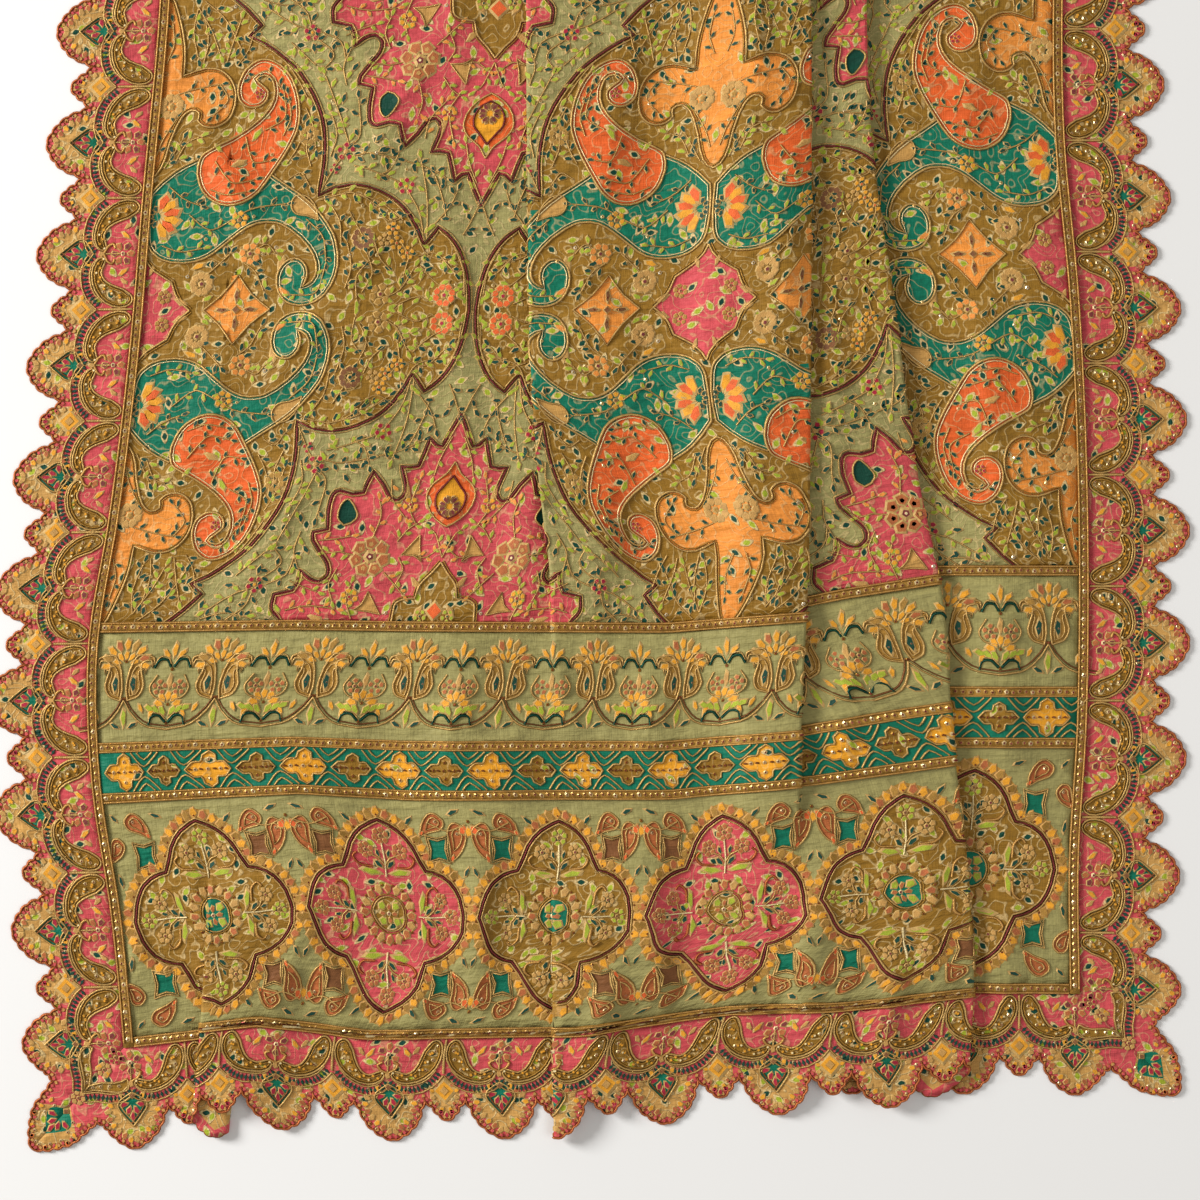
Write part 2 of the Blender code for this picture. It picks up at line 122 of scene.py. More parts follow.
INNER_TUCK = (
    ("v", "x", "under", "turn"),
    (-0.075, 0.127, 0.0, 0.0), (0.095, 0.126, 0.0, 0.0),
    (0.12, 0.1262, 0.0, 0.3), (0.15, 0.1266, 0.0, 0.68),
    (0.189, 0.1275, 0.005, 1.0), (0.222, 0.1288, 0.016, 1.0),
    (0.262, 0.131, 0.022, 1.0), (0.42, 0.1335, 0.025, 1.0),
    (0.67, 0.1335, 0.025, 1.0), (1.0, 0.124, 0.022, 1.0),
    (1.4, 0.134, 0.026, 1.0), (1.8, 0.129, 0.022, 1.0),
    (1.86, 0.1285, 0.016, 1.0), (1.898, 0.128, 0.006, 1.0),
    (1.938, 0.1276, 0.0, 0.74), (1.972, 0.1272, 0.0, 0.42),
    (2.01, 0.1268, 0.0, 0.14), (2.04, 0.1262, 0.0, 0.0),
    (2.235, 0.126, 0.0, 0.0),
)
# The outer tuck is as deep as the side seams leave it, so it has no column for that.
OUTER_TUCK = (
    ("v", "x"),
    (-0.075, 0.234), (0.0, 0.239),
    (0.08, 0.236), (0.165, 0.226),
    (0.25, 0.219), (0.335, 0.202),
    (0.44, 0.188), (0.54, 0.174),
    (0.67, 0.17), (0.92, 0.182),
    (1.2, 0.176), (1.5, 0.184),
    (1.8, 0.196), (1.99, 0.21),
    (2.16, 0.218), (2.235, 0.22),
)


# %% How the cloth is drawn along, and its soft folds
DRIFT = (
    ("u", "near_hem", "field", "far_hem"),
    (-0.07, -0.002, 0.005, 0.004),
    (0.0, 0.0, 0.006, 0.002),
    (0.13, 0.015, 0.008, -0.006),
    (0.2, 0.005, 0.007, 0.003),
    (0.37, 0.008, 0.006, 0.01),
    (0.47, 0.021, 0.014, 0.006),
    (0.54, 0.024, 0.028, 0.016),
    (0.63, 0.034, 0.042, 0.03),
    (0.75, 0.036, 0.043, 0.036),
    (0.934, 0.034, 0.043, 0.04),
)
# Long soft folds, then small uneven creases. x and y are the middle of each.
RIDGES = (
    ("x", "y", "long", "wide", "high", "lean"),
    (-0.195, 0.11, 0.15, 0.07, 0.0065, 0.1), (-0.085, 0.175, 0.17, 0.06, 0.0059, -0.12),
    (0.02, 0.09, 0.14, 0.06, 0.0052, 0.15), (-0.17, 0.42, 0.26, 0.09, 0.0052, 0.2),
    (0.07, 0.5, 0.3, 0.08, 0.0052, -0.1), (0.27, 0.38, 0.26, 0.06, 0.0052, 0.08),
    (-0.2, 0.82, 0.3, 0.09, 0.0065, -0.15), (0.05, 1.05, 0.32, 0.09, 0.0059, 0.18),
    (-0.15, 1.42, 0.34, 0.1, 0.0065, 0.12), (0.26, 1.3, 0.3, 0.06, 0.0052, -0.06),
    (0.06, 1.66, 0.28, 0.08, 0.0059, -0.14), (-0.18, 1.9, 0.22, 0.08, 0.0059, 0.1),
    (0.04, 2.08, 0.15, 0.06, 0.0052, -0.12),
)
CREASES = (
    ("x", "y", "long", "wide", "high", "lean"),
    (-0.078, 0.078, 0.085, 0.018, 0.0039, 0.05), (-0.062, 0.07, 0.07, 0.014, -0.0018, 0.04),
    (0.034, 0.072, 0.09, 0.021, 0.0045, -0.05), (0.052, 0.06, 0.06, 0.014, -0.0018, -0.02),
    (0.138, 0.066, 0.08, 0.017, 0.0045, 0.12), (-0.262, 0.096, 0.06, 0.016, 0.003, -0.3),
    (-0.196, 0.058, 0.06, 0.016, 0.0036, 0.3), (-0.17, 0.03, 0.05, 0.014, 0.003, -0.35),
    (-0.118, 0.024, 0.045, 0.014, 0.0033, 0.2), (0.004, 0.026, 0.05, 0.016, 0.0036, 0.35),
    (0.096, 0.026, 0.05, 0.014, 0.0033, -0.2), (0.186, 0.024, 0.06, 0.016, 0.0042, 0.1),
    (0.214, 0.092, 0.09, 0.014, 0.0033, -0.05), (0.262, 0.06, 0.08, 0.018, 0.0039, 0.06),
    (-0.3, 0.05, 0.05, 0.011, 0.0021, 0.1), (-0.232, 0.216, 0.05, 0.016, 0.003, 0.2),
    (-0.158, 0.222, 0.045, 0.014, 0.0027, -0.25), (-0.09, 0.214, 0.055, 0.016, 0.0033, 0.15),
    (-0.024, 0.226, 0.05, 0.014, 0.003, -0.2), (0.036, 0.214, 0.06, 0.016, 0.0036, 0.1),
    (0.092, 0.224, 0.055, 0.014, 0.0036, -0.1), (0.16, 0.226, 0.07, 0.016, 0.0039, 0.12),
    (0.262, 0.226, 0.08, 0.018, 0.0036, -0.06), (-0.046, 0.34, 0.11, 0.018, 0.0039, 0.04),
    (-0.098, 0.33, 0.07, 0.014, 0.0027, -0.1), (0.002, 0.318, 0.08, 0.016, 0.0033, 0.12),
    (0.096, 0.352, 0.12, 0.021, 0.0042, 0.02), (0.116, 0.3, 0.06, 0.014, 0.0027, 0.05),
    (-0.21, 0.33, 0.07, 0.018, 0.003, 0.6), (-0.15, 0.4, 0.08, 0.016, 0.0027, -0.5),
    (-0.25, 0.42, 0.09, 0.018, 0.0027, 0.3), (-0.17, 0.48, 0.1, 0.021, 0.0033, 0.8),
    (-0.092, 0.47, 0.12, 0.016, 0.0036, -0.05), (0.016, 0.44, 0.09, 0.016, 0.0027, -0.4),
    (0.07, 0.47, 0.11, 0.018, 0.0033, 0.03), (0.12, 0.52, 0.15, 0.016, 0.0045, 0.02),
    (0.15, 0.42, 0.16, 0.014, 0.0036, 0.04), (0.25, 0.43, 0.12, 0.018, 0.0033, -0.05),
    (-0.24, 0.56, 0.09, 0.018, 0.003, -0.4), (-0.13, 0.6, 0.11, 0.018, 0.0033, 0.5),
    (0.01, 0.59, 0.11, 0.018, 0.0033, 0.2), (0.1, 0.64, 0.11, 0.016, 0.0039, -0.04),
    (0.24, 0.62, 0.12, 0.018, 0.0033, 0.1), (-0.09, 0.7, 0.13, 0.021, 0.0036, 0.06),
    (-0.2, 0.76, 0.11, 0.018, 0.003, 0.4), (0.06, 0.8, 0.15, 0.021, 0.0036, -0.15),
    (0.23, 0.88, 0.14, 0.018, 0.0033, 0.08), (-0.12, 0.96, 0.15, 0.021, 0.0036, -0.3),
    (0.01, 1.02, 0.12, 0.018, 0.003, 0.45), (-0.22, 1.1, 0.12, 0.018, 0.003, 0.2),
    (0.11, 1.18, 0.15, 0.021, 0.0036, 0.05), (-0.1, 1.26, 0.13, 0.018, 0.0033, -0.2),
    (0.24, 1.3, 0.12, 0.018, 0.0033, -0.1), (0.03, 1.42, 0.15, 0.021, 0.0036, 0.25),
    (-0.19, 1.52, 0.13, 0.018, 0.003, -0.35), (0.1, 1.62, 0.14, 0.018, 0.0036, -0.05),
    (-0.08, 1.7, 0.13, 0.021, 0.0033, 0.1), (0.24, 1.74, 0.11, 0.016, 0.003, 0.06),
    (-0.22, 1.86, 0.09, 0.018, 0.0033, 0.2), (0.02, 1.9, 0.1, 0.018, 0.0033, -0.15),
    (-0.12, 1.98, 0.08, 0.016, 0.0033, 0.1), (0.07, 2.02, 0.08, 0.016, 0.0036, -0.06),
    (0.18, 2.08, 0.07, 0.016, 0.0036, 0.1), (-0.17, 2.1, 0.06, 0.016, 0.0033, -0.2),
    (-0.01, 2.11, 0.06, 0.016, 0.0033, 0.2),
)


# %% Lay flat points on the floor
def along(table, column, v):
    """Smooth curve through the named column of a table, read at the distances v."""
    rows = np.array(table[1:])
    place = rows[:, 0]
    value = rows[:, table[0].index(column)]
    slope = np.gradient(value, place)
    v = np.clip(v, place[0], place[-1])
    i = np.clip(np.searchsorted(place, v) - 1, 0, len(place) - 2)
    span = place[i + 1] - place[i]
    t = (v - place[i]) / span
    start = (1 + 2 * t) * (1 - t) ** 2 * value[i] + t * (1 - t) ** 2 * span * slope[i]
    end = t * t * (3 - 2 * t) * value[i + 1] - t * t * (1 - t) * span * slope[i + 1]
    return start + end


def step(t):
    t = np.clip(t, 0.0, 1.0)
    return t * t * (3 - 2 * t)


def tuck_loss(under, turn):
    """Width that a tuck takes out of the cloth."""
    angle = math.pi * turn
    return (UPPER_BEND + LOWER_BEND) * (angle - np.sin(angle)) + under * (1 - np.cos(angle))


def tucks_at(v):
    """The four tucks at the distances v: edge, depth, turn, and the u where each begins."""
    left = along(SEAMS, "left", v)
    right = along(SEAMS, "right", v)
    found = []
    hidden = INNER_WIDTH - (right - left)
    for table in (HEM_TUCK, MIDDLE_TUCK, INNER_TUCK):
        tuck = {
            "edge": along(table, "x", v),
            "under": np.maximum(along(table, "under", v), 0.0),
            "turn": np.clip(along(table, "turn", v), 0.0, 1.0),
            "leftward": table is not INNER_TUCK,
        }
        found.append(tuck)
        hidden = hidden - tuck_loss(tuck["under"], tuck["turn"])
    full = np.ones_like(hidden)
    depth = (hidden - tuck_loss(np.zeros_like(hidden), full)) / 2
    found.append({
        "edge": along(OUTER_TUCK, "x", v),
        "under": depth,
        "turn": full,
        "leftward": False,
    })
    x = left
    u = np.zeros_like(left)
    for tuck in found:
        angle = math.pi * tuck["turn"]
        tuck["angle"] = angle
        tuck["width"] = (UPPER_BEND + LOWER_BEND) * angle + tuck["under"]
        tuck["gain"] = tuck["width"] - tuck_loss(tuck["under"], tuck["turn"])
        tuck["height"] = ((UPPER_BEND + LOWER_BEND) * (1 - np.cos(angle))
                          + tuck["under"] * np.sin(angle))
        tuck["x"] = tuck["edge"] - tuck["gain"] if tuck["leftward"] else tuck["edge"]
        tuck["u"] = u + tuck["x"] - x
        x = tuck["x"] + tuck["gain"]
        u = tuck["u"] + tuck["width"]
    return left, found


def tuck_profile(s, tuck):
    """Place and heading at the length s into a tuck, starting on its upper layer."""
    angle = tuck["angle"]
    first = UPPER_BEND * angle
    a = np.clip(s, 0, first) / UPPER_BEND
    run = np.clip(s - first, 0, tuck["under"])
    b = np.clip(s - first - tuck["under"], 0, LOWER_BEND * angle) / LOWER_BEND
    x = UPPER_BEND * np.sin(a) + run * np.cos(angle)
    x = x + LOWER_BEND * (np.sin(angle) - np.sin(angle - b))
    z = -UPPER_BEND * (1 - np.cos(a)) - run * np.sin(angle)
    z = z - LOWER_BEND * (np.cos(angle - b) - np.cos(angle))
    return x, z, b - a


def drift(u, v):
    place, near, field, far = np.array(DRIFT[1:]).T
    near, field, far = (np.interp(u, place, amount) for amount in (near, field, far))
    to_near = step(1 - v / DRIFT_REACH)
    to_far = step(1 - (INNER_LENGTH - v) / DRIFT_REACH)
    return field + (near - field) * to_near + (far - field) * to_far


def ridges(x, y):
    height = np.zeros_like(x)
    for cx, cy, long, wide, high, lean in RIDGES[1:] + CREASES[1:]:
        across = (x - cx - lean * (y - cy)) / wide
        down = (y - cy) / long
        height = height + high * step(1 - np.hypot(across, down))
    return np.maximum(height, 0.0)


def lay(u, v, h):
    """Lays the flat point (u, v), h above the middle of the wall, on the floor."""
    left, tucks = tucks_at(v)
    x = left + u
    z = np.zeros_like(x)
    heading = np.zeros_like(x)
    for tuck in tucks:
        s = u - tuck["u"]
        inside = (s > 0) & (s < tuck["width"])
        past = s >= tuck["width"]
        if tuck["leftward"]:
            px, pz, turned = tuck_profile(tuck["width"] - s, tuck)
            px = tuck["gain"] - px
            turned = -turned
        else:
            px, pz, turned = tuck_profile(s, tuck)
        x = np.where(inside, tuck["x"] + px, x)
        x = np.where(past, tuck["x"] + tuck["gain"] + s - tuck["width"], x)
        tuck["inside"] = inside
        tuck["upper"] = past if tuck["leftward"] else s <= 0
        tuck["lift"] = tuck["height"] + pz
        heading = np.where(inside, turned, heading)
    for tuck in tucks:
        if tuck["leftward"]:
            reach = x - tuck["edge"]
        else:
            reach = tuck["edge"] - x
        up = tuck["height"] * step(1 - (reach - tuck["under"] - CLEAR) / SLOPE_RUN)
        z = z + np.where(tuck["inside"], tuck["lift"], 0) + np.where(tuck["upper"], up, 0)
    y = v + drift(u, v)
    z = z + ridges(x, y) + WALL / 2
    x = x - h * np.sin(heading) - MIDDLE_X
    return np.stack((x, y - MIDDLE_Y, z + h * np.cos(heading)), axis=-1)


# %% [markdown]
# The pattern isn't laid evenly. Small gathers near the hem draw it together, more in the
# middle than at the seams, and the slack lies hidden in the outer tuck. The table says how far
# each column of the pattern is drawn along the cloth, in millimetres.

# %% How the pattern is gathered
GATHER_COLUMNS = (-80.0, 0.0, 48.0, 56.0, 67.2, 188.8, 312.0, 319.0, 432.0, 553.6, 700.0, 797.0,
                  950.0)
GATHERS = (
    (0.0, 0, 0, 0, 39, 36, 17, 5, 31, 22, 15, 6, 0, 0),
    (0.0145, 0, 0, 0, 37, 33, 15, 4, 30, 23, 15, 6, 0, 0),
    (0.03, 0, 0, 0, 27, 24, 9, -4, 12, 10, 2, 0, 0, 0),
    (0.045, 0, 0, 0, 17, 14, 1, -15, -7, -6, -14, -6, 0, 0),
    (0.06, 0, 0, 0, 8, 6, -5, -20, -17, -21, -29, -12, 0, 0),
    (0.075, 0, 0, 0, 0, -1, -10, -25, -24, -34, -42, -18, 0, 0),
    (0.095, 0, 0, -3, -3, -4, -11, -23, -23, -36, -43, -18, 0, 0),
    (0.137, 0, 0, -5, -6, -7, -11, -15, -16, -31, -34, -14, 0, 0),
    (0.17, 0, 0, -9, -11, -13, -15, -22, -22, -33, -30, -12, 0, 0),
    (0.225, 0, 0, -4, -4, -5, -3, -9, -10, -22, -27, -12, 0, 0),
    (0.265, 0, 0, 2, 2, 3, 5, -9, -9, -23, -20, -10, 0, 0),
    (0.33, 0, 0, 0, 0, 0, 1, -4, -4, -10, -14, -6, 0, 0),
    (0.42, 0, 0, 0, 0, 0, 0, 0, 0, 0, -5, -3, 0, 0),
    (0.56, 0, 0, 0, 0, 0, 0, 0, 0, 0, 0, 0, 0, 0),
    (2.02, 0, 0, 0, 0, 0, 0, 0, 0, 0, 0, 0, 0, 0),
    (2.09, 0, 0, -2, -2, -2, -4, -6, -6, -8, -10, -4, 0, 0),
    (2.16, 0, 0, 3, 4, 4, 12, 22, 22, 20, 12, 5, 0, 0),
)


def gathered(flat):
    """Flat points in metres, drawn along the cloth as the gathers draw them."""
    rows = np.array(GATHERS)
    across, down = flat[:, 0] * 1000, flat[:, 1]
    shift = np.zeros(len(flat))
    for i in range(len(GATHER_COLUMNS) - 1):
        low, high = GATHER_COLUMNS[i], GATHER_COLUMNS[i + 1]
        t = (across - low) / (high - low)
        here = (t >= 0) & (t < 1)
        start = np.interp(down[here], rows[:, 0], rows[:, 1 + i])
        end = np.interp(down[here], rows[:, 0], rows[:, 2 + i])
        shift[here] = start + (end - start) * t[here]
    shift[(down <= 0) | (down >= INNER_LENGTH)] = 0
    return np.column_stack((flat[:, 0] + shift / 1000, down))

# %% [markdown]
# ## Colours and finishes
# The silk and its threads have eighteen colours. Each face keeps its dye as an attribute, so that
# one silk, one thread, one zari and one sequin finish can serve every colour. The silk gets
# slubs, a fine weave and puckers from noise and waves on its own flat coordinates in metres. Its
# crinkles are also painted into its colour as shade, darker in their troughs and lighter on top.

# %% The dyes
def dye(code):
    """Linear colour of an sRGB code such as 958C56."""
    parts = [int(code[i:i + 2], 16) / 255 for i in (0, 2, 4)]
    return [p / 12.92 if p <= 0.04045 else ((p + 0.055) / 1.055) ** 2.4 for p in parts]


DYE_CODES = {
    "sage": "958C56", "brown": "8A6420", "pink": "C24A4E", "teal": "0D6A50", "orange": "D85E28",
    "apricot": "DC8838", "gold": "DE9826", "lime": "9CA62C", "forest": "103F30",
    "maroon": "74302E", "red": "A21D34", "beige": "BC8E4C", "zari": "BE995A", "bright": "E6D09A",
    "copper": "7A4E2C", "ivory": "EAE0C6", "antique": "A47A34", "rust": "AC6034",
}
DYES = {name: dye(code) for name, code in DYE_CODES.items()}
DYE_NAMES = list(DYES)
DYE_TABLE = np.array([[*DYES[name], 1.0] for name in DYE_NAMES])


# %% A finish and the nodes that make it up
class Finish:
    """A material, with short ways to add nodes to it."""

    def __init__(self, name):
        self.material = bpy.data.materials.new(name)
        self.material.use_nodes = True
        self.nodes = self.material.node_tree.nodes
        self.shader = self.nodes["Principled BSDF"]

    def give(self, value, socket):
        """Gives a socket a number, a dye by its name, or the output of another node."""
        if isinstance(value, (int, float)):
            socket.default_value = value
        elif isinstance(value, str):
            socket.default_value = (*DYES[value], 1.0)
        else:
            self.material.node_tree.links.new(value, socket)

    def attribute(self, name, output):
        node = self.nodes.new("ShaderNodeAttribute")
        node.attribute_name = name
        return node.outputs[output]

    def noise(self, where, scale, detail):
        node = self.nodes.new("ShaderNodeTexNoise")
        for value, name in ((where, "Vector"), (scale, "Scale"), (detail, "Detail")):
            self.give(value, node.inputs[name])
        return node.outputs["Fac"]

    def stretched(self, where, scale):
        node = self.nodes.new("ShaderNodeMapping")
        node.inputs["Scale"].default_value = scale
        self.give(where, node.inputs["Vector"])
        return node.outputs["Vector"]

    def calculate(self, operation, first, second=0.0):
        node = self.nodes.new("ShaderNodeMath")
        node.operation = operation
        self.give(first, node.inputs[0])
        self.give(second, node.inputs[1])
        return node.outputs[0]

    def span(self, value, **ends):
        """The value with its range moved, as From Min, From Max, To Min and To Max say."""
        node = self.nodes.new("ShaderNodeMapRange")
        for name, number in ends.items():
            node.inputs[name.replace("_", " ")].default_value = number
        self.give(value, node.inputs["Value"])
        return node.outputs[0]

    def below(self, value, low, high):
        """1 where the value is under low and 0 where it is over high."""
        return self.span(value, From_Min=low, From_Max=high, To_Min=1.0, To_Max=0.0)

    def shaded(self, colour, shade, low, high):
        """The colour, made darker or lighter by shade, which runs from 0 to 1."""
        amount = self.span(shade, To_Min=low, To_Max=high)
        node = self.nodes.new("ShaderNodeVectorMath")
        node.operation = "SCALE"
        self.give(colour, node.inputs[0])
        self.give(amount, node.inputs["Scale"])
        return node.outputs[0]

    def mixed(self, amount, first, second):
        """The first colour where the amount is 0 and the second where it is 1."""
        node = self.nodes.new("ShaderNodeMix")
        node.data_type = "RGBA"
        for socket, value in ((0, amount), (6, first), (7, second)):
            self.give(value, node.inputs[socket])
        return node.outputs[2]

    def bump(self, height, distance):
        node = self.nodes.new("ShaderNodeBump")
        node.inputs["Strength"].default_value = BUMP_STRENGTH
        node.inputs["Distance"].default_value = distance
        self.give(height, node.inputs["Height"])
        self.give(node.outputs[0], self.shader.inputs["Normal"])

    def surface(self, **values):
        """Sets the base colour and other inputs of the surface."""
        for name, value in values.items():
            self.give(value, self.shader.inputs[name.replace("_", " ")])


BUMP_STRENGTH = 0.9

# %% Slub silk, closely worked with fine thread
LEAVES_A_METRE = 100.0
LEAF_SCATTER = 0.8
LEAF_LENGTHS_A_METRE = 225.0
LEAF_WIDTHS_A_METRE = 425.0
FULL_TURN = 6.28
SHARE_DARK = 0.55


def stitched_leaves(silk, flat, worked):
    """Masks of small outlined leaves at scattered angles: outline, inside, and their shade."""
    cell = silk.nodes.new("ShaderNodeTexVoronoi")
    cell.voronoi_dimensions = "2D"
    cell.inputs["Scale"].default_value = LEAVES_A_METRE
    cell.inputs["Randomness"].default_value = LEAF_SCATTER
    silk.give(flat, cell.inputs["Vector"])
    chance = silk.nodes.new("ShaderNodeSeparateColor")
    silk.give(cell.outputs["Color"], chance.inputs[0])
    away = silk.nodes.new("ShaderNodeVectorMath")
    away.operation = "SUBTRACT"
    silk.give(flat, away.inputs[0])
    silk.give(cell.outputs["Position"], away.inputs[1])
    turn = silk.nodes.new("ShaderNodeVectorRotate")
    turn.rotation_type = "Z_AXIS"
    silk.give(away.outputs[0], turn.inputs["Vector"])
    silk.give(silk.calculate("MULTIPLY", chance.outputs[0], FULL_TURN), turn.inputs["Angle"])
    place = silk.nodes.new("ShaderNodeSeparateXYZ")
    silk.give(turn.outputs[0], place.inputs[0])
    lengthwise = silk.calculate("ABSOLUTE", place.outputs[0])
    lengthwise = silk.calculate("MULTIPLY", lengthwise, LEAF_LENGTHS_A_METRE)
    crosswise = silk.calculate("MULTIPLY", place.outputs[1], LEAF_WIDTHS_A_METRE)
    crosswise = silk.calculate("MULTIPLY", crosswise, crosswise)
    reach = silk.calculate("ADD", lengthwise, crosswise)
    present = silk.calculate("LESS_THAN", chance.outputs[2], worked)
    outline = silk.calculate("MULTIPLY", silk.below(reach, 0.95, 1.15), present)
    inside_leaf = silk.calculate("MULTIPLY", silk.below(reach, 0.45, 0.62), present)
    return outline, inside_leaf, silk.calculate("GREATER_THAN", chance.outputs[1], SHARE_DARK)


def stitched_curls(silk, flat, worked):
    """A mask of thin curled lines, where noise passes through its half steps."""
    curls = silk.calculate("MULTIPLY", silk.noise(flat, 62.0, 1.0), 8.0)
    curls = silk.calculate("FRACT", curls)
    curls = silk.calculate("SUBTRACT", curls, 0.5)
    curls = silk.calculate("ABSOLUTE", curls)
    curls = silk.below(curls, 0.05, 0.13)
    return silk.calculate("MULTIPLY", curls, worked)


def silk_material(name):
    silk = Finish(name)
    map_node = silk.nodes.new("ShaderNodeUVMap")
    map_node.uv_map = "cut"
    flat = map_node.outputs["UV"]
    weft = silk.noise(silk.stretched(flat, (60, 1500, 1)), 1.0, 3.0)
    warp = silk.noise(silk.stretched(flat, (1500, 60, 1)), 1.0, 3.0)
    weave = silk.calculate("MULTIPLY", silk.calculate("ADD", weft, warp), 0.5)
    cloudy = silk.noise(flat, 9.0, 4.0)
    crinkle_relief_and_shade = silk.noise(silk.stretched(flat, (45, 180, 1)), 1.0, 3.0)
    pucker = silk.noise(flat, 75.0, 3.0)
    colour = silk.attribute("dye", "Color")
    # The crinkle noise raises the bump and is also painted into the colour as shade: darker in its
    # troughs, lighter on its crests.
    for shade, low, high in ((weave, 0.55, 1.45), (cloudy, 0.75, 1.25), (crinkle_relief_and_shade, 0.70, 1.30)):
        colour = silk.shaded(colour, shade, low, high)
    worked = silk.attribute("worked", "Fac")
    curls = stitched_curls(silk, flat, worked)
    outline, inside_leaf, dark = stitched_leaves(silk, flat, worked)
    glint = silk.noise(flat, 900.0, 1.0)
    thread = silk.shaded(silk.mixed(glint, "antique", "bright"), glint, 0.7, 1.3)
    green = silk.mixed(dark, "lime", "forest")
    for mask, stitch in ((curls, thread), (outline, thread), (inside_leaf, green)):
        colour = silk.mixed(mask, colour, stitch)
    height = silk.calculate("MULTIPLY", pucker, 0.9)
    for layer, amount in ((crinkle_relief_and_shade, 1.1), (weave, 0.2), (curls, 0.15), (outline, 0.2)):
        height = silk.calculate("ADD", height, silk.calculate("MULTIPLY", layer, amount))
    silk.bump(height, 0.003)
    silk.surface(Base_Color=colour, Roughness=0.55, Specular_IOR_Level=0.15)
    return silk.material


# %% Thread, zari and sequins
def thread_material(name, metallic, roughness, low, high, grain):
    thread = Finish(name)
    where = thread.nodes.new("ShaderNodeTexCoord").outputs["Object"]
    fine = thread.noise(where, grain, 2.0)
    patchy = thread.noise(where, grain / 7, 2.0)
    colour = thread.attribute("dye", "Color")
    for shade in (fine, patchy):
        colour = thread.shaded(colour, shade, low, high)
    thread.bump(fine, 0.0004)
    thread.surface(Base_Color=colour, Metallic=metallic, Roughness=roughness, Specular_IOR_Level=0.25)
    return thread.material


GROUND_SILK = silk_material("slub_silk")
STITCHES = thread_material("embroidery_thread", 0.0, 0.55, 0.55, 1.4, 1500.0)
ZARI = thread_material("zari_cord", 0.55, 0.42, 0.55, 1.45, 1500.0)
SEQUINS = thread_material("sequin_foil", 0.7, 0.3, 0.6, 1.4, 700.0)
TAPE_WEAVE = thread_material("gold_tape_weave", 0.35, 0.5, 0.45, 1.5, 1100.0)
print("dyes:", len(DYES), "finishes:", len(bpy.data.materials))

# %% [markdown]
# ## Drawing flat
# A motif is drawn as an embroiderer's chart is: filled shapes, lines of cord, and small raised
# forms such as leaves, petals and sequins. It could be an image, but an image blurs close up
# and has no relief. A drawing keeps its lists apart, and it is repeated by turning and
# mirroring them, as the printer's block is.

# %% Smooth lines through a few points
STEP_SHARE = 0.75    # of the step that a line asks for, for rounder curves
UP = math.pi / 2


def smooth(points, step=3.0, closed=False):
    """A smooth line through points; a third value of 1 makes a point a sharp corner."""
    places = np.array([p[:2] for p in points], dtype=float)
    sharp = [len(p) > 2 and p[2] == 1 for p in points]
    count = len(places)
    line = []
    for i in range(count if closed else count - 1):
        j = (i + 1) % count
        before = places[i - 1] if (i > 0 or closed) and not sharp[i] else None
        after = places[(j + 1) % count] if (j + 1 < count or closed) and not sharp[j] else None
        chord = places[j] - places[i]
        start = chord if before is None else (places[j] - before) / 2
        end = chord if after is None else (after - places[i]) / 2
        pieces = max(1, int(round(np.hypot(*chord) / (step * STEP_SHARE))))
        t = np.arange(pieces)[:, None] / pieces
        line.append((1 + 2 * t) * (1 - t) ** 2 * places[i] + t * (1 - t) ** 2 * start
                    + t * t * (3 - 2 * t) * places[j] - t * t * (1 - t) * end)
    if not closed:
        line.append(places[-1:])
    return np.concatenate(line)


def offset(line, distance, closed=False):
    """The line moved sideways, to its left for a positive distance."""
    if closed:
        ahead = np.roll(line, -1, axis=0) - np.roll(line, 1, axis=0)
    else:
        ahead = np.gradient(line, axis=0)
    length = np.maximum(np.hypot(ahead[:, 0], ahead[:, 1]), 1e-9)[:, None]
    normal = np.stack((-ahead[:, 1], ahead[:, 0]), axis=-1) / length
    return line + normal * distance


def turned(line, angle):
    """The line, turned about the origin."""
    cos, sin = math.cos(angle), math.sin(angle)
    return line @ np.array([[cos, sin], [-sin, cos]])


def line_length(line):
    return float(np.hypot(*np.diff(line, axis=0).T).sum())


def spaced(line, spacing, closed=False):
    """Evenly spaced places along a line, and the heading at each."""
    if closed:
        line = np.concatenate((line, line[:1]))
    pieces = np.diff(line, axis=0)
    run = np.concatenate(([0.0], np.cumsum(np.hypot(pieces[:, 0], pieces[:, 1]))))
    count = max(1, int(round(run[-1] / spacing)))
    at = (np.arange(count) + (0.0 if closed else 0.5)) * run[-1] / count
    x = np.interp(at, run, line[:, 0])
    y = np.interp(at, run, line[:, 1])
    i = np.clip(np.searchsorted(run, at, side="right") - 1, 0, len(pieces) - 1)
    return np.stack((x, y), axis=-1), np.arctan2(pieces[i, 1], pieces[i, 0])


# %% The small raised forms
FORM_SIDES = {"leaf": 5, "petal": 5, "disc": 5, "block": 4, "bead": 5}
FORM_TOP = {"leaf": 0.64, "petal": 0.68, "disc": 0.42, "block": 0.70, "bead": 0.50}

NARROWER_ENDS = 0.28
PETAL_FLARE = 0.35
LEAF_TAPER = 0.5


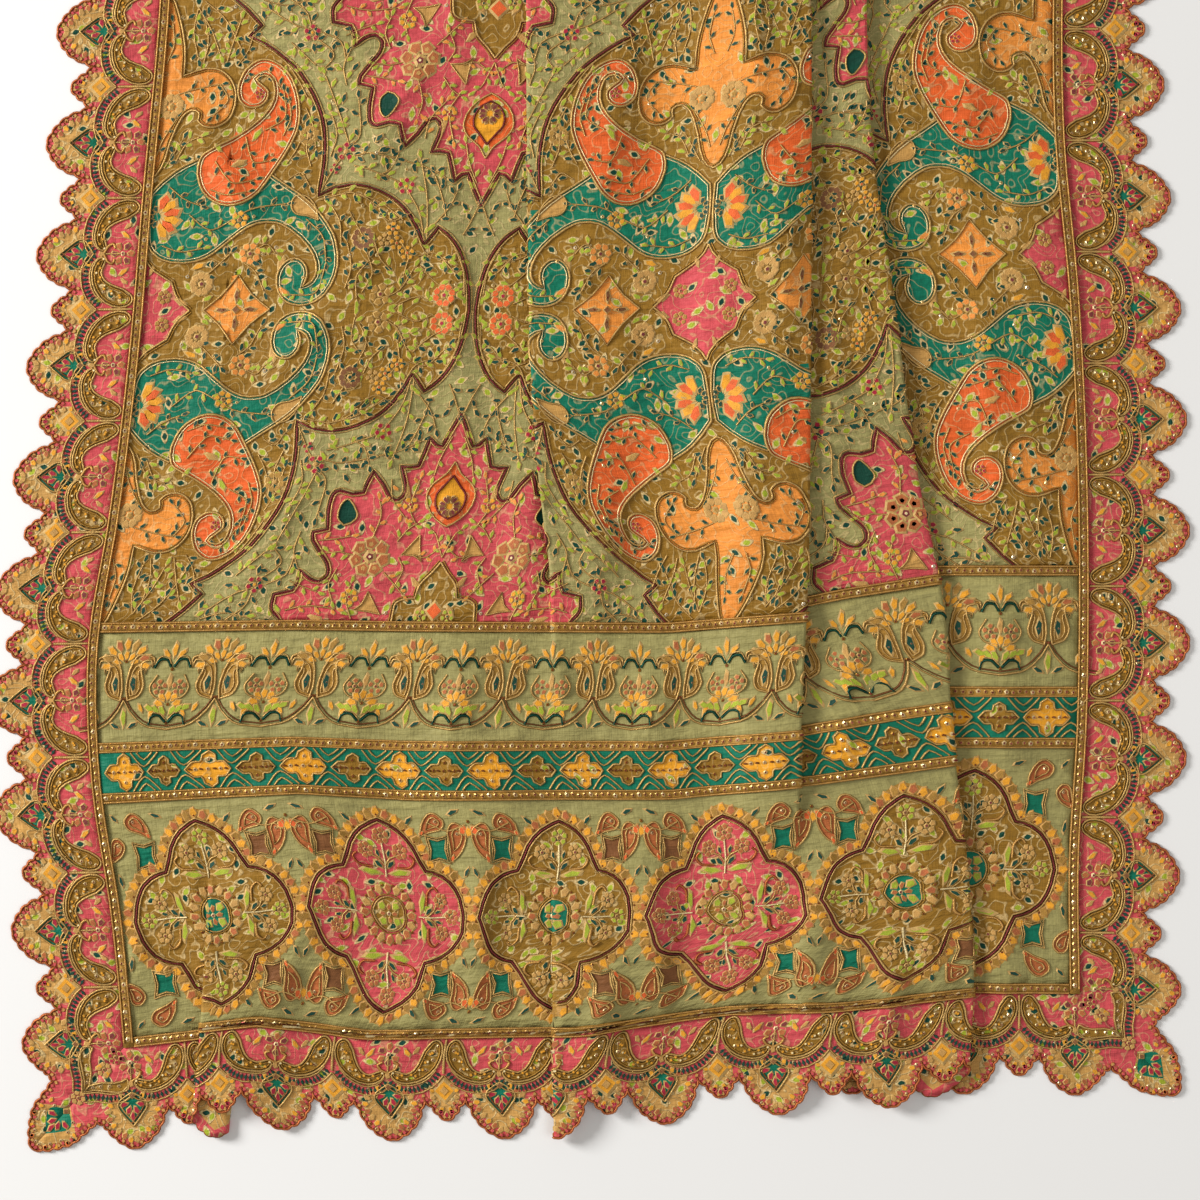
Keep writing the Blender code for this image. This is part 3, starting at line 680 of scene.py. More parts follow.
def make_form(kind):
    """A low solid with its rim and its top apart, one unit in every direction."""
    bm = bmesh.new()
    bmesh.ops.create_cone(bm, cap_ends=True, segments=FORM_SIDES[kind], radius1=1.0,
                          radius2=FORM_TOP[kind], depth=1.0)
    bmesh.ops.translate(bm, verts=bm.verts, vec=(0, 0, 0.5))
    for vert in bm.verts:
        if kind in ("leaf", "petal"):
            vert.co.y *= 1.0 - NARROWER_ENDS * abs(vert.co.x)
        if kind == "petal":
            vert.co.y *= 1.0 + PETAL_FLARE * vert.co.x
        if kind == "leaf":
            vert.co.y *= 1.0 + LEAF_TAPER * min(0.0, vert.co.x)
    bm.faces.ensure_lookup_table()
    places = np.array([vert.co[:] for vert in bm.verts])
    faces = [([vert.index for vert in face.verts], face.normal.z > 0.9) for face in bm.faces]
    bm.free()
    return places, faces


FORMS = {kind: make_form(kind) for kind in FORM_SIDES}


# %% A drawing and how it is repeated
class Drawing:
    """What is printed and sewn on one repeat, in millimetres."""

    def __init__(self):
        self.fills = []
        self.cords = []
        self.forms = []

    def fill(self, outline, colour, edge=None, width=1.0):
        self.fills.append((outline, colour))
        if edge:
            self.cord(outline, edge, width, True)

    def cord(self, line, colour="zari", width=1.0, closed=False):
        if closed:
            line = np.concatenate((line, line[:1]))
        self.cords.append((np.asarray(line, dtype=float), colour, width))

    def form(self, kind, x, y, turn, long, wide, rim, top, high=0.55):
        cos, sin = math.cos(turn), math.sin(turn)
        matrix = [[cos * long / 2, -sin * wide / 2], [sin * long / 2, cos * wide / 2]]
        self.forms.append((kind, (x, y), matrix, rim, top, high))

    def sequin(self, x, y, size=2.6, rim="antique", top="maroon"):
        self.form("disc", x, y, 0.0, size, size, rim, top, 0.7)

    def leaf(self, x, y, turn, long=7.0, wide=3.6, top="lime", rim="zari"):
        """A leaf with its foot at x, y."""
        self.form("leaf", x + math.cos(turn) * long / 2, y + math.sin(turn) * long / 2, turn,
                  long, wide, rim, top)

    def petals(self, x, y, count, reach, wide, top, rim="zari", inner=0.3, turn=0.0, arc=None):
        """Petals round a middle, or fanned over an arc."""
        for i in range(count):
            if arc is None:
                angle = turn + 2 * math.pi * i / count
            else:
                angle = turn + arc * (i / (count - 1) - 0.5)
            middle = reach * (1 + inner) / 2
            tone = top[i % len(top)] if isinstance(top, tuple) else top
            self.form("petal", x + math.cos(angle) * middle, y + math.sin(angle) * middle, angle,
                      reach * (1 - inner), wide, rim, tone, 0.6)

    def flower(self, x, y, reach=5.5, count=6, top="red", heart="gold", rim="zari", turn=0.3):
        self.petals(x, y, count, reach, reach * 0.85, top, rim, 0.28, turn)
        self.form("bead", x, y, 0.0, reach * 0.62, reach * 0.62, rim, heart, 0.85)

    def sprig(self, points, leaves, tops, long, wide):
        """A stem with leaves on alternate sides and one at its tip."""
        line = smooth(points, 3.0)
        self.cord(line, "zari", 1.0)
        for i, ((x, y), heading) in enumerate(zip(*spaced(line, max(1.0, line_length(line) / leaves)))):
            side = 1 if i % 2 else -1
            size = long * (1.0 - 0.12 * (i % 3))
            self.leaf(x, y, heading + side * 0.85, size, wide, tops[(i + (side > 0)) % len(tops)])
        ahead = line[-1] - line[-2]
        self.leaf(*line[-1], math.atan2(ahead[1], ahead[0]), long, wide, tops[0])

    def beads_on(self, line, spacing, kind, long, wide, rim, tops, closed=False, high=0.6):
        """A row of forms along a line, each pointing across it."""
        for i, ((x, y), heading) in enumerate(zip(*spaced(line, spacing, closed))):
            self.form(kind, x, y, heading - UP, long, wide, rim, tops[i % len(tops)], high)

    def rope(self, line, first):
        """A striped rope between two cords, the first of them on the side that is named."""
        self.beads_on(line, 2.7, "block", 4.6, 2.3, "forest", ("forest",))
        for side in (first, -first):
            self.cord(offset(line, side * 2.9), "zari", 1.3)

    def picots(self, edge):
        """The worked edge of the border."""
        self.cord(edge, "rust", 1.6)
        self.beads_on(offset(edge, -2.0), 3.2, "petal", 3.6, 3.0, "rust", ("pink", "beige"))

    def add(self, other, x=0.0, y=0.0, mirror_x=1, mirror_y=1, scale=1.0, turn=0.0):
        """Another drawing, placed in this one."""
        matrix = np.array([[math.cos(turn), -math.sin(turn)], [math.sin(turn), math.cos(turn)]])
        matrix = matrix @ np.diag((mirror_x, mirror_y)) * scale
        move = np.array((x, y))
        for outline, colour in other.fills:
            self.fills.append((np.asarray(outline) @ matrix.T + move, colour))
        for line, colour, width in other.cords:
            self.cords.append((line @ matrix.T + move, colour, width))
        for kind, place, shape, rim, top, high in other.forms:
            self.forms.append((kind, matrix @ np.array(place) + move, matrix @ np.array(shape),
                               rim, top, high))

    def tell(self, name):
        print(name + ":", len(self.fills), "fills,", len(self.cords), "cords,", len(self.forms), "forms")


# %% [markdown]
# ## From flat drawings to cloth
# Blender's own triangulator cuts a flat panel exactly along the edges of its colours. The
# triangles that cross a tuck are cut again along its bends, in a space where those bends are
# straight, and then the whole sheet is laid down. Solidify gives it its wall.

# %% Cut a flat panel along its colours
def rectangle(left, low, right, high):
    return [(left, low), (right, low), (right, high), (left, high)]


PRINT_STRAYS = 0.2    # how far a thinned outline may stray, in millimetres
SAME_POINT = 1e-4
TINY = 1e-6


def inside(outline, places):
    """Which places lie inside a closed outline."""
    found = np.zeros(len(places), dtype=bool)
    outline = np.asarray(outline)
    near = np.all((places >= outline.min(axis=0)) & (places <= outline.max(axis=0)), axis=1)
    x, y = places[near].T
    odd = np.zeros(len(x), dtype=bool)
    ahead = np.roll(outline, -1, axis=0)
    for (x0, y0), (x1, y1) in zip(outline, ahead):
        crosses = (y0 > y) != (y1 > y)
        if y1 != y0:
            odd ^= crosses & (x < (x1 - x0) * (y - y0) / (y1 - y0) + x0)
    found[near] = odd
    return found


def shortened(outline, longest):
    """A closed outline with points added so that none of its edges is longer."""
    line = []
    for start, end in zip(outline, np.roll(outline, -1, axis=0)):
        count = max(1, math.ceil(np.hypot(*(end - start)) / longest - TINY))
        line.append(start + (end - start) * np.arange(count)[:, None] / count)
    return np.concatenate(line)


def thinned(line, tolerance, longest):
    """The line with fewer points where it is nearly straight."""
    kept = [0]
    for i in range(2, len(line)):
        start = line[kept[-1]]
        chord = line[i] - start
        length = max(np.hypot(*chord), 1e-9)
        between = line[kept[-1] + 1:i] - start
        away = np.abs(between[:, 0] * chord[1] - between[:, 1] * chord[0]) / length
        if length > longest or away.max() > tolerance:
            kept.append(i - 1)
    return line[kept + [len(line) - 1]]


def grid_over(low, high, spacing, rim=True):
    """Points of a regular grid over a rectangle, with or without those on its rim."""
    cells = np.maximum(1, np.round((high - low) / spacing)).astype(int)
    columns, rows = (np.linspace(low[i], high[i], cells[i] + 1) for i in (0, 1))
    if not rim:
        columns, rows = columns[1:-1], rows[1:-1]
    return np.stack(np.meshgrid(columns, rows), axis=-1).reshape(-1, 2)


def cut_print(outline, ground, fills, spacing, inner=None):
    """Triangles of a flat panel, in millimetres, with the dye of each.

    The spacing is that of its grid; inner is a finer one for inside a rectangle.
    """
    outline = np.asarray(outline, dtype=float)
    low, high = outline.min(axis=0), outline.max(axis=0)
    grid = grid_over(low, high, spacing)
    on_edge = np.any((grid == low) | (grid == high), axis=1)
    four_sided = len(outline) == 4
    grid = grid[inside(outline, grid) & ~on_edge | (on_edge & four_sided)]
    if inner:
        grid = grid[np.any((grid == low) | (grid == high), axis=1)]
        grid = np.concatenate((grid, grid_over(low, high, inner, rim=False)))
    points = [Vector(p) for p in grid]
    edges = []
    colour_lines = [thinned(np.asarray(fill, dtype=float), PRINT_STRAYS, spacing) for fill, _ in fills]
    for line in [outline] + colour_lines:
        line = shortened(line, spacing)
        start = len(points)
        points += [Vector(p) for p in line]
        count = len(line)
        edges += [(start + i, start + (i + 1) % count) for i in range(count)]
    found = delaunay_2d_cdt(points, edges, [], 0, SAME_POINT)
    places = np.array([tuple(v) for v in found[0]])
    faces = np.array([tuple(f) for f in found[2] if len(f) == 3])
    corners = places[faces]
    area = np.cross(corners[:, 1] - corners[:, 0], corners[:, 2] - corners[:, 0])
    faces[area < 0] = faces[area < 0][:, ::-1]
    middles = corners.mean(axis=1)
    kept = inside(outline, middles) & (np.abs(area) > TINY)
    numbers = np.full(len(faces), DYE_NAMES.index(ground))
    for fill, colour in fills:
        numbers[inside(fill, middles)] = DYE_NAMES.index(colour)
    return places, faces[kept], numbers[kept]


# %% Cut again along the bends of the tucks
BEND_CUTS = 3
LEAST_TURN = 0.4
LEAST_UNDER = 0.002
PAST_EDGE = 0.12


def bend_lines(v):
    """u of the lines along each tuck, at every distance v."""
    _, tucks = tucks_at(v)
    lines = [np.full_like(v, -PAST_EDGE)]
    for tuck in tucks:
        angle = math.pi * np.maximum(tuck["turn"], LEAST_TURN)
        bends = [UPPER_BEND * angle, LOWER_BEND * angle]
        if tuck["leftward"]:
            bends.reverse()
        under = np.maximum(tuck["under"], LEAST_UNDER)
        start = tuck["u"] + tuck["width"] / 2 - (bends[0] + bends[1] + under) / 2
        for bend in bends:
            lines += [start + bend * i / BEND_CUTS for i in range(BEND_CUTS + 1)]
            start = start + bend + under
    lines.append(np.full_like(v, INNER_WIDTH + PAST_EDGE))
    return np.stack(lines, axis=-1)


def to_numbers(u, v):
    """u as a count of bend lines, so that every bend lies at a whole number."""
    lines = bend_lines(v)
    k = np.clip((u[:, None] >= lines).sum(axis=1) - 1, 0, lines.shape[1] - 2)
    row = np.arange(len(u))
    return k + (u - lines[row, k]) / (lines[row, k + 1] - lines[row, k])


def from_numbers(number, v):
    """The u that such a count stands for."""
    lines = bend_lines(v)
    k = np.clip(np.floor(number).astype(int), 0, lines.shape[1] - 2)
    row = np.arange(len(number))
    return lines[row, k] + (number - k) * (lines[row, k + 1] - lines[row, k])


def coordinates(mesh):
    places = np.empty(len(mesh.vertices) * 3)
    mesh.vertices.foreach_get("co", places)
    return places.reshape(-1, 3)


def set_coordinates(mesh, places):
    mesh.vertices.foreach_set("co", np.ascontiguousarray(places, dtype=float).ravel())
    mesh.update()


def cut_at_tucks(mesh):
    """Cuts a flat mesh in metres along every bend."""
    flat = coordinates(mesh)
    v = flat[:, 1].copy()
    flat[:, 0] = to_numbers(flat[:, 0], v)
    set_coordinates(mesh, flat)
    bm = bmesh.new()
    bm.from_mesh(mesh)
    per_tuck = 2 * (BEND_CUTS + 1)
    for first in range(1, 1 + 4 * per_tuck, per_tuck):
        near = [f for f in bm.faces if any(first - TINY <= w.co.x for w in f.verts)
                and any(w.co.x <= first + per_tuck - 1 + TINY for w in f.verts)]
        part = list({w for f in near for w in f.verts}) + list({e for f in near for e in f.edges})
        part += near
        for i in range(per_tuck):
            cut = bmesh.ops.bisect_plane(bm, geom=part, dist=1e-5, plane_co=(first + i, 0, 0),
                                         plane_no=(1, 0, 0))
            part = cut["geom"]
    bmesh.ops.triangulate(bm, faces=[f for f in bm.faces if len(f.verts) > 3])
    bm.to_mesh(mesh)
    bm.free()
    flat = coordinates(mesh)
    flat[:, 0] = from_numbers(flat[:, 0], flat[:, 1].copy())
    set_coordinates(mesh, flat)


# %% Make a piece of the laid cloth
def placed(name, data):
    """A new object with this data, in the scene."""
    thing = bpy.data.objects.new(name, data)
    bpy.context.scene.collection.objects.link(thing)
    return thing


def lay_mesh(mesh, base):
    """Lays a flat mesh in metres; its z is the height above base."""
    flat = coordinates(mesh)
    set_coordinates(mesh, lay(flat[:, 0], flat[:, 1], base + flat[:, 2]))


def paint(mesh, numbers):
    """Gives every corner of a mesh the dye of its face."""
    loops = np.empty(len(mesh.polygons), dtype=np.int32)
    mesh.polygons.foreach_get("loop_total", loops)
    colours = np.repeat(DYE_TABLE[numbers], loops, axis=0)
    layer = mesh.color_attributes.new("dye", "FLOAT_COLOR", "CORNER")
    layer.data.foreach_set("color", colours.ravel())


def cut_coordinates(mesh):
    """Keeps the flat place of every corner as a UV map, in metres."""
    corners = np.empty(len(mesh.loops), dtype=np.int32)
    mesh.loops.foreach_get("vertex_index", corners)
    layer = mesh.uv_layers.new(name="cut")
    layer.data.foreach_set("uv", coordinates(mesh)[corners, :2].ravel())


def dress(name, mesh, material, node=None):
    """Makes a mesh into a piece that rides on the part, in place of a solid or on it."""
    piece = placed(name, mesh)
    mesh.materials.append(material)
    mesh.shade_smooth()
    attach(piece, "root")
    if node:
        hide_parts(node)
    return piece


WELD = 2e-5


def lay_ground(name, parts, top, thickness, node, worked=None, material=GROUND_SILK):
    """One printed panel from its flat parts, each placed by a matrix and a move."""
    places, faces, numbers = [], [], []
    start = 0
    for (points, triangles, tones), matrix, move in parts:
        matrix = np.array(matrix, dtype=float)
        places.append(points @ matrix.T + np.array(move))
        flipped = np.linalg.det(matrix) < 0
        faces.append((triangles[:, ::-1] if flipped else triangles) + start)
        numbers.append(tones)
        start += len(points)
    places = gathered(np.concatenate(places) / 1000)
    faces = np.concatenate(faces)
    mesh = bpy.data.meshes.new(name)
    mesh.from_pydata(np.column_stack((places, np.zeros(len(places)))).tolist(), [], faces.tolist())
    layer = mesh.attributes.new("dye_number", "INT", "FACE")
    layer.data.foreach_set("value", np.concatenate(numbers).astype(np.int32))
    bm = bmesh.new()
    bm.from_mesh(mesh)
    bmesh.ops.remove_doubles(bm, verts=bm.verts, dist=WELD)
    bm.to_mesh(mesh)
    bm.free()
    cut_at_tucks(mesh)
    tones = np.empty(len(mesh.polygons), dtype=np.int32)
    mesh.attributes["dye_number"].data.foreach_get("value", tones)
    mesh.attributes.remove(mesh.attributes["dye_number"])
    paint(mesh, tones)
    amounts = np.array([(worked or {}).get(dye_name, 0.0) for dye_name in DYE_NAMES])
    layer = mesh.attributes.new("worked", "FLOAT", "FACE")
    layer.data.foreach_set("value", amounts[tones])
    cut_coordinates(mesh)
    lay_mesh(mesh, top)
    piece = dress(name, mesh, material, node)
    wall = piece.modifiers.new("wall", "SOLIDIFY")
    wall.thickness = thickness
    wall.offset = -1
    print(name, "faces:", len(mesh.polygons))
    return piece


# %% Sew cords and small forms on
# Past this distance along the cloth the photograph ends. The finest cords and small forms are
# left out there, and lines keep fewer points: how far they may stray and how long an edge is.
UNSEEN_FROM = 0.69
FINE_CORD = 1.25
THINNED = {False: (0.22, 11.0), True: (1.0, 20.0)}
CORD_RAISED = 0.00035
CORD_HALF = 0.00055
CORD_FOOT = -0.0001
FORM_RAISED = 0.00015
SHARP_FROM = math.radians(14)
BEND_MARGIN = 0.003
STEPS_AT_BEND = 4
section = bpy.data.curves.new("cord_section", "CURVE")
section.dimensions = "2D"
ring = section.splines.new("POLY")
ring.points.add(2)
CORD_CORNERS = ((CORD_HALF, CORD_FOOT), (0.0, CORD_HALF), (-CORD_HALF, CORD_FOOT))
for point, (x, y) in zip(ring.points, CORD_CORNERS):
    point.co = (x, y, 0, 1)
ring.use_cyclic_u = True
CORD_SECTION = bpy.data.objects.new("cord_section", section)


def lay_cords(name, drawings, base, material):
    """All cords of some drawings as one piece, from a curve with a three-sided section."""
    curve = bpy.data.curves.new(name, "CURVE")
    curve.dimensions = "3D"
    curve.twist_mode = "Z_UP"
    curve.bevel_mode = "OBJECT"
    curve.bevel_object = CORD_SECTION
    curve.use_fill_caps = True
    for _ in DYE_NAMES:
        curve.materials.append(material)
    seen = set()
    plainer = {}
    for drawing, matrix, move in drawings:
        matrix = np.array(matrix, dtype=float)
        for line, colour, width in drawing.cords:
            flat = (line @ matrix.T + np.array(move)) / 1000
            unseen = flat[:, 1].mean() > UNSEEN_FROM
            if width < FINE_CORD and unseen:
                continue
            if (id(line), unseen) not in plainer:
                plainer[id(line), unseen] = thinned(line, *THINNED[unseen])
            flat = (plainer[id(line), unseen] @ matrix.T + np.array(move)) / 1000
            ends = sorted((tuple(flat[0].round(4)), tuple(flat[-1].round(4))))
            key = (*ends, tuple(flat.mean(axis=0).round(4)), width)
            if key in seen:
                continue
            seen.add(key)
            flat = closer_at_bends(gathered(flat))
            spline = curve.splines.new("POLY")
            spline.points.add(len(flat) - 1)
            full = np.column_stack((flat, np.zeros(len(flat)), np.ones(len(flat))))
            spline.points.foreach_set("co", full.ravel())
            spline.points.foreach_set("radius", np.full(len(flat), width))
            spline.material_index = DYE_NAMES.index(colour)
    strand = placed(name, curve)
    bpy.context.view_layer.update()
    finished = strand.evaluated_get(bpy.context.evaluated_depsgraph_get())
    mesh = bpy.data.meshes.new_from_object(finished)
    bpy.data.objects.remove(strand)
    bpy.data.curves.remove(curve)
    tones = np.empty(len(mesh.polygons), dtype=np.int32)
    mesh.polygons.foreach_get("material_index", tones)
    mesh.polygons.foreach_set("material_index", np.zeros(len(tones), dtype=np.int32))
    mesh.materials.clear()
    paint(mesh, tones)
    lay_mesh(mesh, base + CORD_RAISED)
    piece = dress(name, mesh, material)
    print(name, "faces:", len(mesh.polygons))
    return piece


def closer_at_bends(flat):
    """Adds points to a flat line where it crosses the bends of a tuck."""
    u, v = flat.T
    near = np.zeros(len(flat), dtype=bool)
    for tuck in tucks_at(v)[1]:
        near |= (u > tuck["u"] - BEND_MARGIN) & (u < tuck["u"] + tuck["width"] + BEND_MARGIN)
    if not near.any():
        return flat
    line = []
    for i in range(len(flat) - 1):
        count = STEPS_AT_BEND if near[i] or near[i + 1] else 1
        t = np.arange(count)[:, None] / count
        line.append(flat[i] * (1 - t) + flat[i + 1] * t)
    line.append(flat[-1:])
    return np.concatenate(line)


def lay_forms(name, drawings, base, material, kinds, fine=0.0):
    """All small forms of these kinds as one joined piece, or None where there are none.

    Past the part that is seen, forms are left out whose length times width is under fine.
    """
    places, corners, totals, tones = [], [], [], []
    start = 0
    for kind in kinds:
        seen = set()
        shapes, moves, rims, tops, heights = [], [], [], [], []
        for drawing, matrix, move in drawings:
            matrix = np.array(matrix, dtype=float)
            for which, place, shape, rim, top, high in drawing.forms:
                if which != kind:
                    continue
                shaped = matrix @ np.array(shape)
                moved = matrix @ np.array(place) + np.array(move)
                size = abs(np.linalg.det(shaped))
                key = (*moved.round(1), round(size, 1), high)
                left_out = moved[1] > UNSEEN_FROM * 1000 and size * 4 < fine
                if key not in seen and not left_out:
                    seen.add(key)
                    shapes.append(shaped)
                    moves.append(moved)
                    rims.append(DYE_NAMES.index(rim))
                    tops.append(DYE_NAMES.index(top))
                    heights.append(high)
        if not shapes:
            continue
        points, faces = FORMS[kind]
        flat = np.einsum("nij,kj->nki", np.array(shapes), points[:, :2]) + np.array(moves)[:, None]
        flat = gathered(flat.reshape(-1, 2) / 1000)
        level = (np.array(heights)[:, None] * points[None, :, 2]).reshape(-1) / 1000
        flipped = np.linalg.det(np.array(shapes)) < 0
        places.append(np.column_stack((flat, level)))
        each = len(points)
        for loop, is_top in faces:
            loop = np.array(loop)
            wound = np.where(flipped[:, None], loop[None, ::-1], loop[None, :])
            corners.append((wound + start + each * np.arange(len(shapes))[:, None]).ravel())
            totals.append(np.full(len(shapes), len(loop)))
            tones.append(np.array(tops if is_top else rims))
        start += each * len(shapes)
    if not places:
        return None
    mesh = bpy.data.meshes.new(name)
    places = np.concatenate(places)
    totals = np.concatenate(totals)
    mesh.vertices.add(len(places))
    set_coordinates(mesh, lay(places[:, 0], places[:, 1], base + FORM_RAISED + places[:, 2]))
    mesh.loops.add(int(totals.sum()))
    mesh.loops.foreach_set("vertex_index", np.concatenate(corners).astype(np.int32))
    mesh.polygons.add(len(totals))
    mesh.polygons.foreach_set("loop_start", (np.cumsum(totals) - totals).astype(np.int32))
    mesh.update(calc_edges=True)
    paint(mesh, np.concatenate(tones))
    piece = dress(name, mesh, material)
    mesh.set_sharp_from_angle(angle=SHARP_FROM)
    print(name, "faces:", len(mesh.polygons))
    return piece


RAISED = ("leaf", "petal", "block", "bead")


def sew_on(what, where, drawings, base, raised=None, fine=0.0, discs=("disc",), fine_discs=0.0):
    """Cords, raised forms under the name given for them, and sequins, each as one piece."""
    pieces = [lay_cords(f"{what}_cords_{where}", drawings, base, ZARI)]
    if raised:
        pieces.append(lay_forms(f"{what}_{raised}_{where}", drawings, base, STITCHES, RAISED, fine))
    pieces.append(lay_forms(f"{what}_sequins_{where}", drawings, base, SEQUINS, discs, fine_discs))
    return [piece for piece in pieces if piece]


def set_at(thing, places):
    """One thing at each of some places, which are a matrix and a move."""
    return [(thing, matrix, move) for matrix, move in places]


# %% [markdown]
# ## The field
# One repeat of the field is a quarter of a cartouche: the brown ground with its spiked edge,
# a teal and an orange paisley that curl into each other, half a fleur along the seam, and in
# the far corner a quarter of the pink palmette. Mirroring it four times across and eight
# times along fills the field, as the block printer fills it.

# %% Outlines of the quarter repeat
REPEAT_WIDE = 216.0
REPEAT_LONG = 204.5
OVER = 0.5    # how far a shape on the edge of a repeat runs over it
CARTOUCHE = smooth([
    (0, 0, 1), (0, 204.5, 1), (41, 204.5, 1), (54, 194), (64, 183.5, 1), (56.5, 177, 1), (70, 170),
    (88, 156), (97, 145), (105, 131.5), (109.5, 120), (112, 106), (112.5, 92), (111, 73, 1),
    (122, 78), (135, 79.5), (150, 76), (163, 68.5), (172, 59), (177.5, 50), (181.5, 41.5, 1),
    (186, 47), (190, 53, 1), (198, 47), (205, 38), (210, 26), (213, 12), (214, 0, 1)], 5.0, True)
STAR = smooth([
    (0, 0, 1), (0, 37, 1), (2.5, 32), (8, 26), (14, 22), (20, 18.5, 1), (22, 13), (26, 6),
    (33, 0, 1)], 4.0, True)
DIAMOND = smooth([
    (63, -22.5, 1), (73, -9.5), (85, 0, 1), (73, 9.5), (63, 22.5, 1), (53, 9.5), (42, 0, 1),
    (53, -9.5)], 5.0, True)
TEAL_PAISLEY = smooth([
    (1.5, 76, 1), (0.8, 60), (2.5, 44), (7.5, 36.5), (16, 32), (27, 30.8), (37, 32.5), (45, 36.5),
    (53, 43), (61, 49.5), (69.5, 54.5), (78, 56.5), (88, 55), (99, 48), (107, 40), (112, 32),
    (113.5, 24), (111, 17.5), (105, 14, 1), (107.5, 20), (106.5, 27), (101.5, 32), (95.5, 32),
    (90.5, 28), (88, 21), (89, 13), (93, 6.5), (99, 3), (106.5, 2), (114, 4), (120.5, 9),
    (125, 17.5), (127, 27), (126, 37.5), (122.5, 48), (116, 57.5), (108, 66.5), (98, 74.5),
    (87, 81.5), (77, 88.5, 1), (60, 96), (31, 98, 1), (19, 92), (9, 84)], 4.0, True)
ORANGE_PAISLEY = smooth([
    (32, 98), (31, 88), (35.5, 77), (43, 70.5), (52.5, 67.5), (63, 69.5), (71.5, 76), (78, 86),
    (84, 96), (90, 107.5), (93.5, 120), (92, 135), (86, 149.5), (76, 159), (65, 161.5),
    (56, 155.5), (52, 145), (53.5, 136), (59.5, 131.2), (66.5, 131.5), (71, 135.5), (71.5, 141),
    (67.5, 145, 1), (63, 149), (68.5, 151.5), (73.5, 148.5), (76, 141), (75, 133), (70, 125),
    (61, 117), (47, 108), (37, 103)], 3.5, True)
FLEUR = smooth([
    (0, 86, 1), (4, 88), (8.5, 96), (12, 112), (17, 124.5), (23, 129.5), (28.5, 127.5),
    (28, 122.5, 1), (32, 119), (39, 118), (46.5, 122), (50.5, 130), (50.5, 141), (46, 150),
    (38.5, 155.5), (29.5, 156.5), (21.5, 154), (16, 152, 1), (15.5, 168), (12, 184), (7, 199),
    (3, 204.5, 1), (0, 204.5, 1)], 4.0, True)
PALMETTE = smooth([
    (216, 67, 1), (211.5, 76), (206, 88, 1), (202, 87), (197.5, 82.5, 1), (195, 92), (192, 101, 1),
    (186.5, 102), (181, 101.5, 1), (184, 110), (185.5, 118), (181.5, 123), (176, 121), (171, 113),
    (164, 105, 1), (161, 111), (159, 118.5, 1), (152, 119.5), (144, 117.5), (139.5, 120.5),
    (138, 130), (139, 142.5, 1), (130, 144.5, 1), (130.5, 150), (135.5, 157), (141.5, 165),
    (142.5, 172), (137.5, 176), (131, 174), (125, 169, 1), (124.5, 176), (121.5, 182, 1),
    (110, 184.5, 1), (109.5, 194), (115.5, 201.5, 1), (109, 204.5, 1), (216, 204.5, 1)], 4.0, True)
SUB_CARTOUCHE = smooth([
    (216, 163, 1), (210.5, 170), (203.5, 177.5), (201, 186.5, 1), (194, 187), (188, 189.5),
    (186.5, 197), (186, 204.5, 1), (216, 204.5, 1)], 4.0, True)
FLAME = smooth([
    (216, 98, 1), (211, 106), (203.5, 112), (200, 118.5), (201, 126), (205.5, 133), (212, 138),
    (216, 140, 1)], 4.0)
FLAME_HEART = smooth([
    (216, 107, 1), (211.5, 113), (206.5, 119), (206.5, 126), (210.5, 132), (216, 135, 1)], 4.0)
LOBE_LEAF = smooth([(149, 140, 1), (144.5, 135), (145.5, 127), (149.5, 123), (154, 127),
                    (157, 134), (153.5, 138.5)], 3.0, True)
PEAR = smooth([(112, 57, 1), (109.5, 66), (103.5, 72.5), (96, 73), (93.5, 67), (97, 61.5),
               (104.5, 60)], 3.0, True)
TRUMPETS = ((196, 153, 0.35), (172, 192, 2.25))


# %% Print the quarter repeat
def closed_on_axis(line, x):
    """An outline that ends on a mirror axis, closed a little past it."""
    return np.concatenate((line, [(x, line[-1][1]), (x, line[0][1])]))


quarter = Drawing()
for outline, colour in ((CARTOUCHE, "brown"), (PALMETTE, "pink"), (SUB_CARTOUCHE, "brown"),
                        (STAR, "pink"), (DIAMOND, "apricot"), (TEAL_PAISLEY, "teal"),
                        (ORANGE_PAISLEY, "orange"), (FLEUR, "apricot"), (PEAR, "beige"),
                        (LOBE_LEAF, "forest")):
    quarter.fill(outline, colour)
quarter.fill(closed_on_axis(FLAME, REPEAT_WIDE + OVER), "orange")
quarter.fill(closed_on_axis(FLAME_HEART, REPEAT_WIDE + OVER), "gold")
for x, y, turn in TRUMPETS:
    bell = smooth([(0, -8, 1), (4, 0), (9, 7, 1), (2, 5.5), (-6, 8, 1), (-3, 0)], 3.0, True)
    quarter.fill(turned(bell, turn) + (x, y), "beige", "zari", 1.2)


# %% Cords along the outlines
ON_EDGE = 0.01


def open_part(outline, low, high):
    """The stretch of an outline that isn't on the edge of the repeat."""
    x, y = outline.T
    kept = ((x > low[0] + ON_EDGE) & (x < high[0] - ON_EDGE)
            & (y > low[1] + ON_EDGE) & (y < high[1] - ON_EDGE))
    first = int(np.argmax(~kept)) if not kept.all() else 0
    order = np.roll(np.arange(len(outline)), -first)
    order = order[kept[order]]
    before = outline[(order[0] - 1) % len(outline)]
    after = outline[(order[-1] + 1) % len(outline)]
    return np.concatenate(([before], outline[order], [after]))


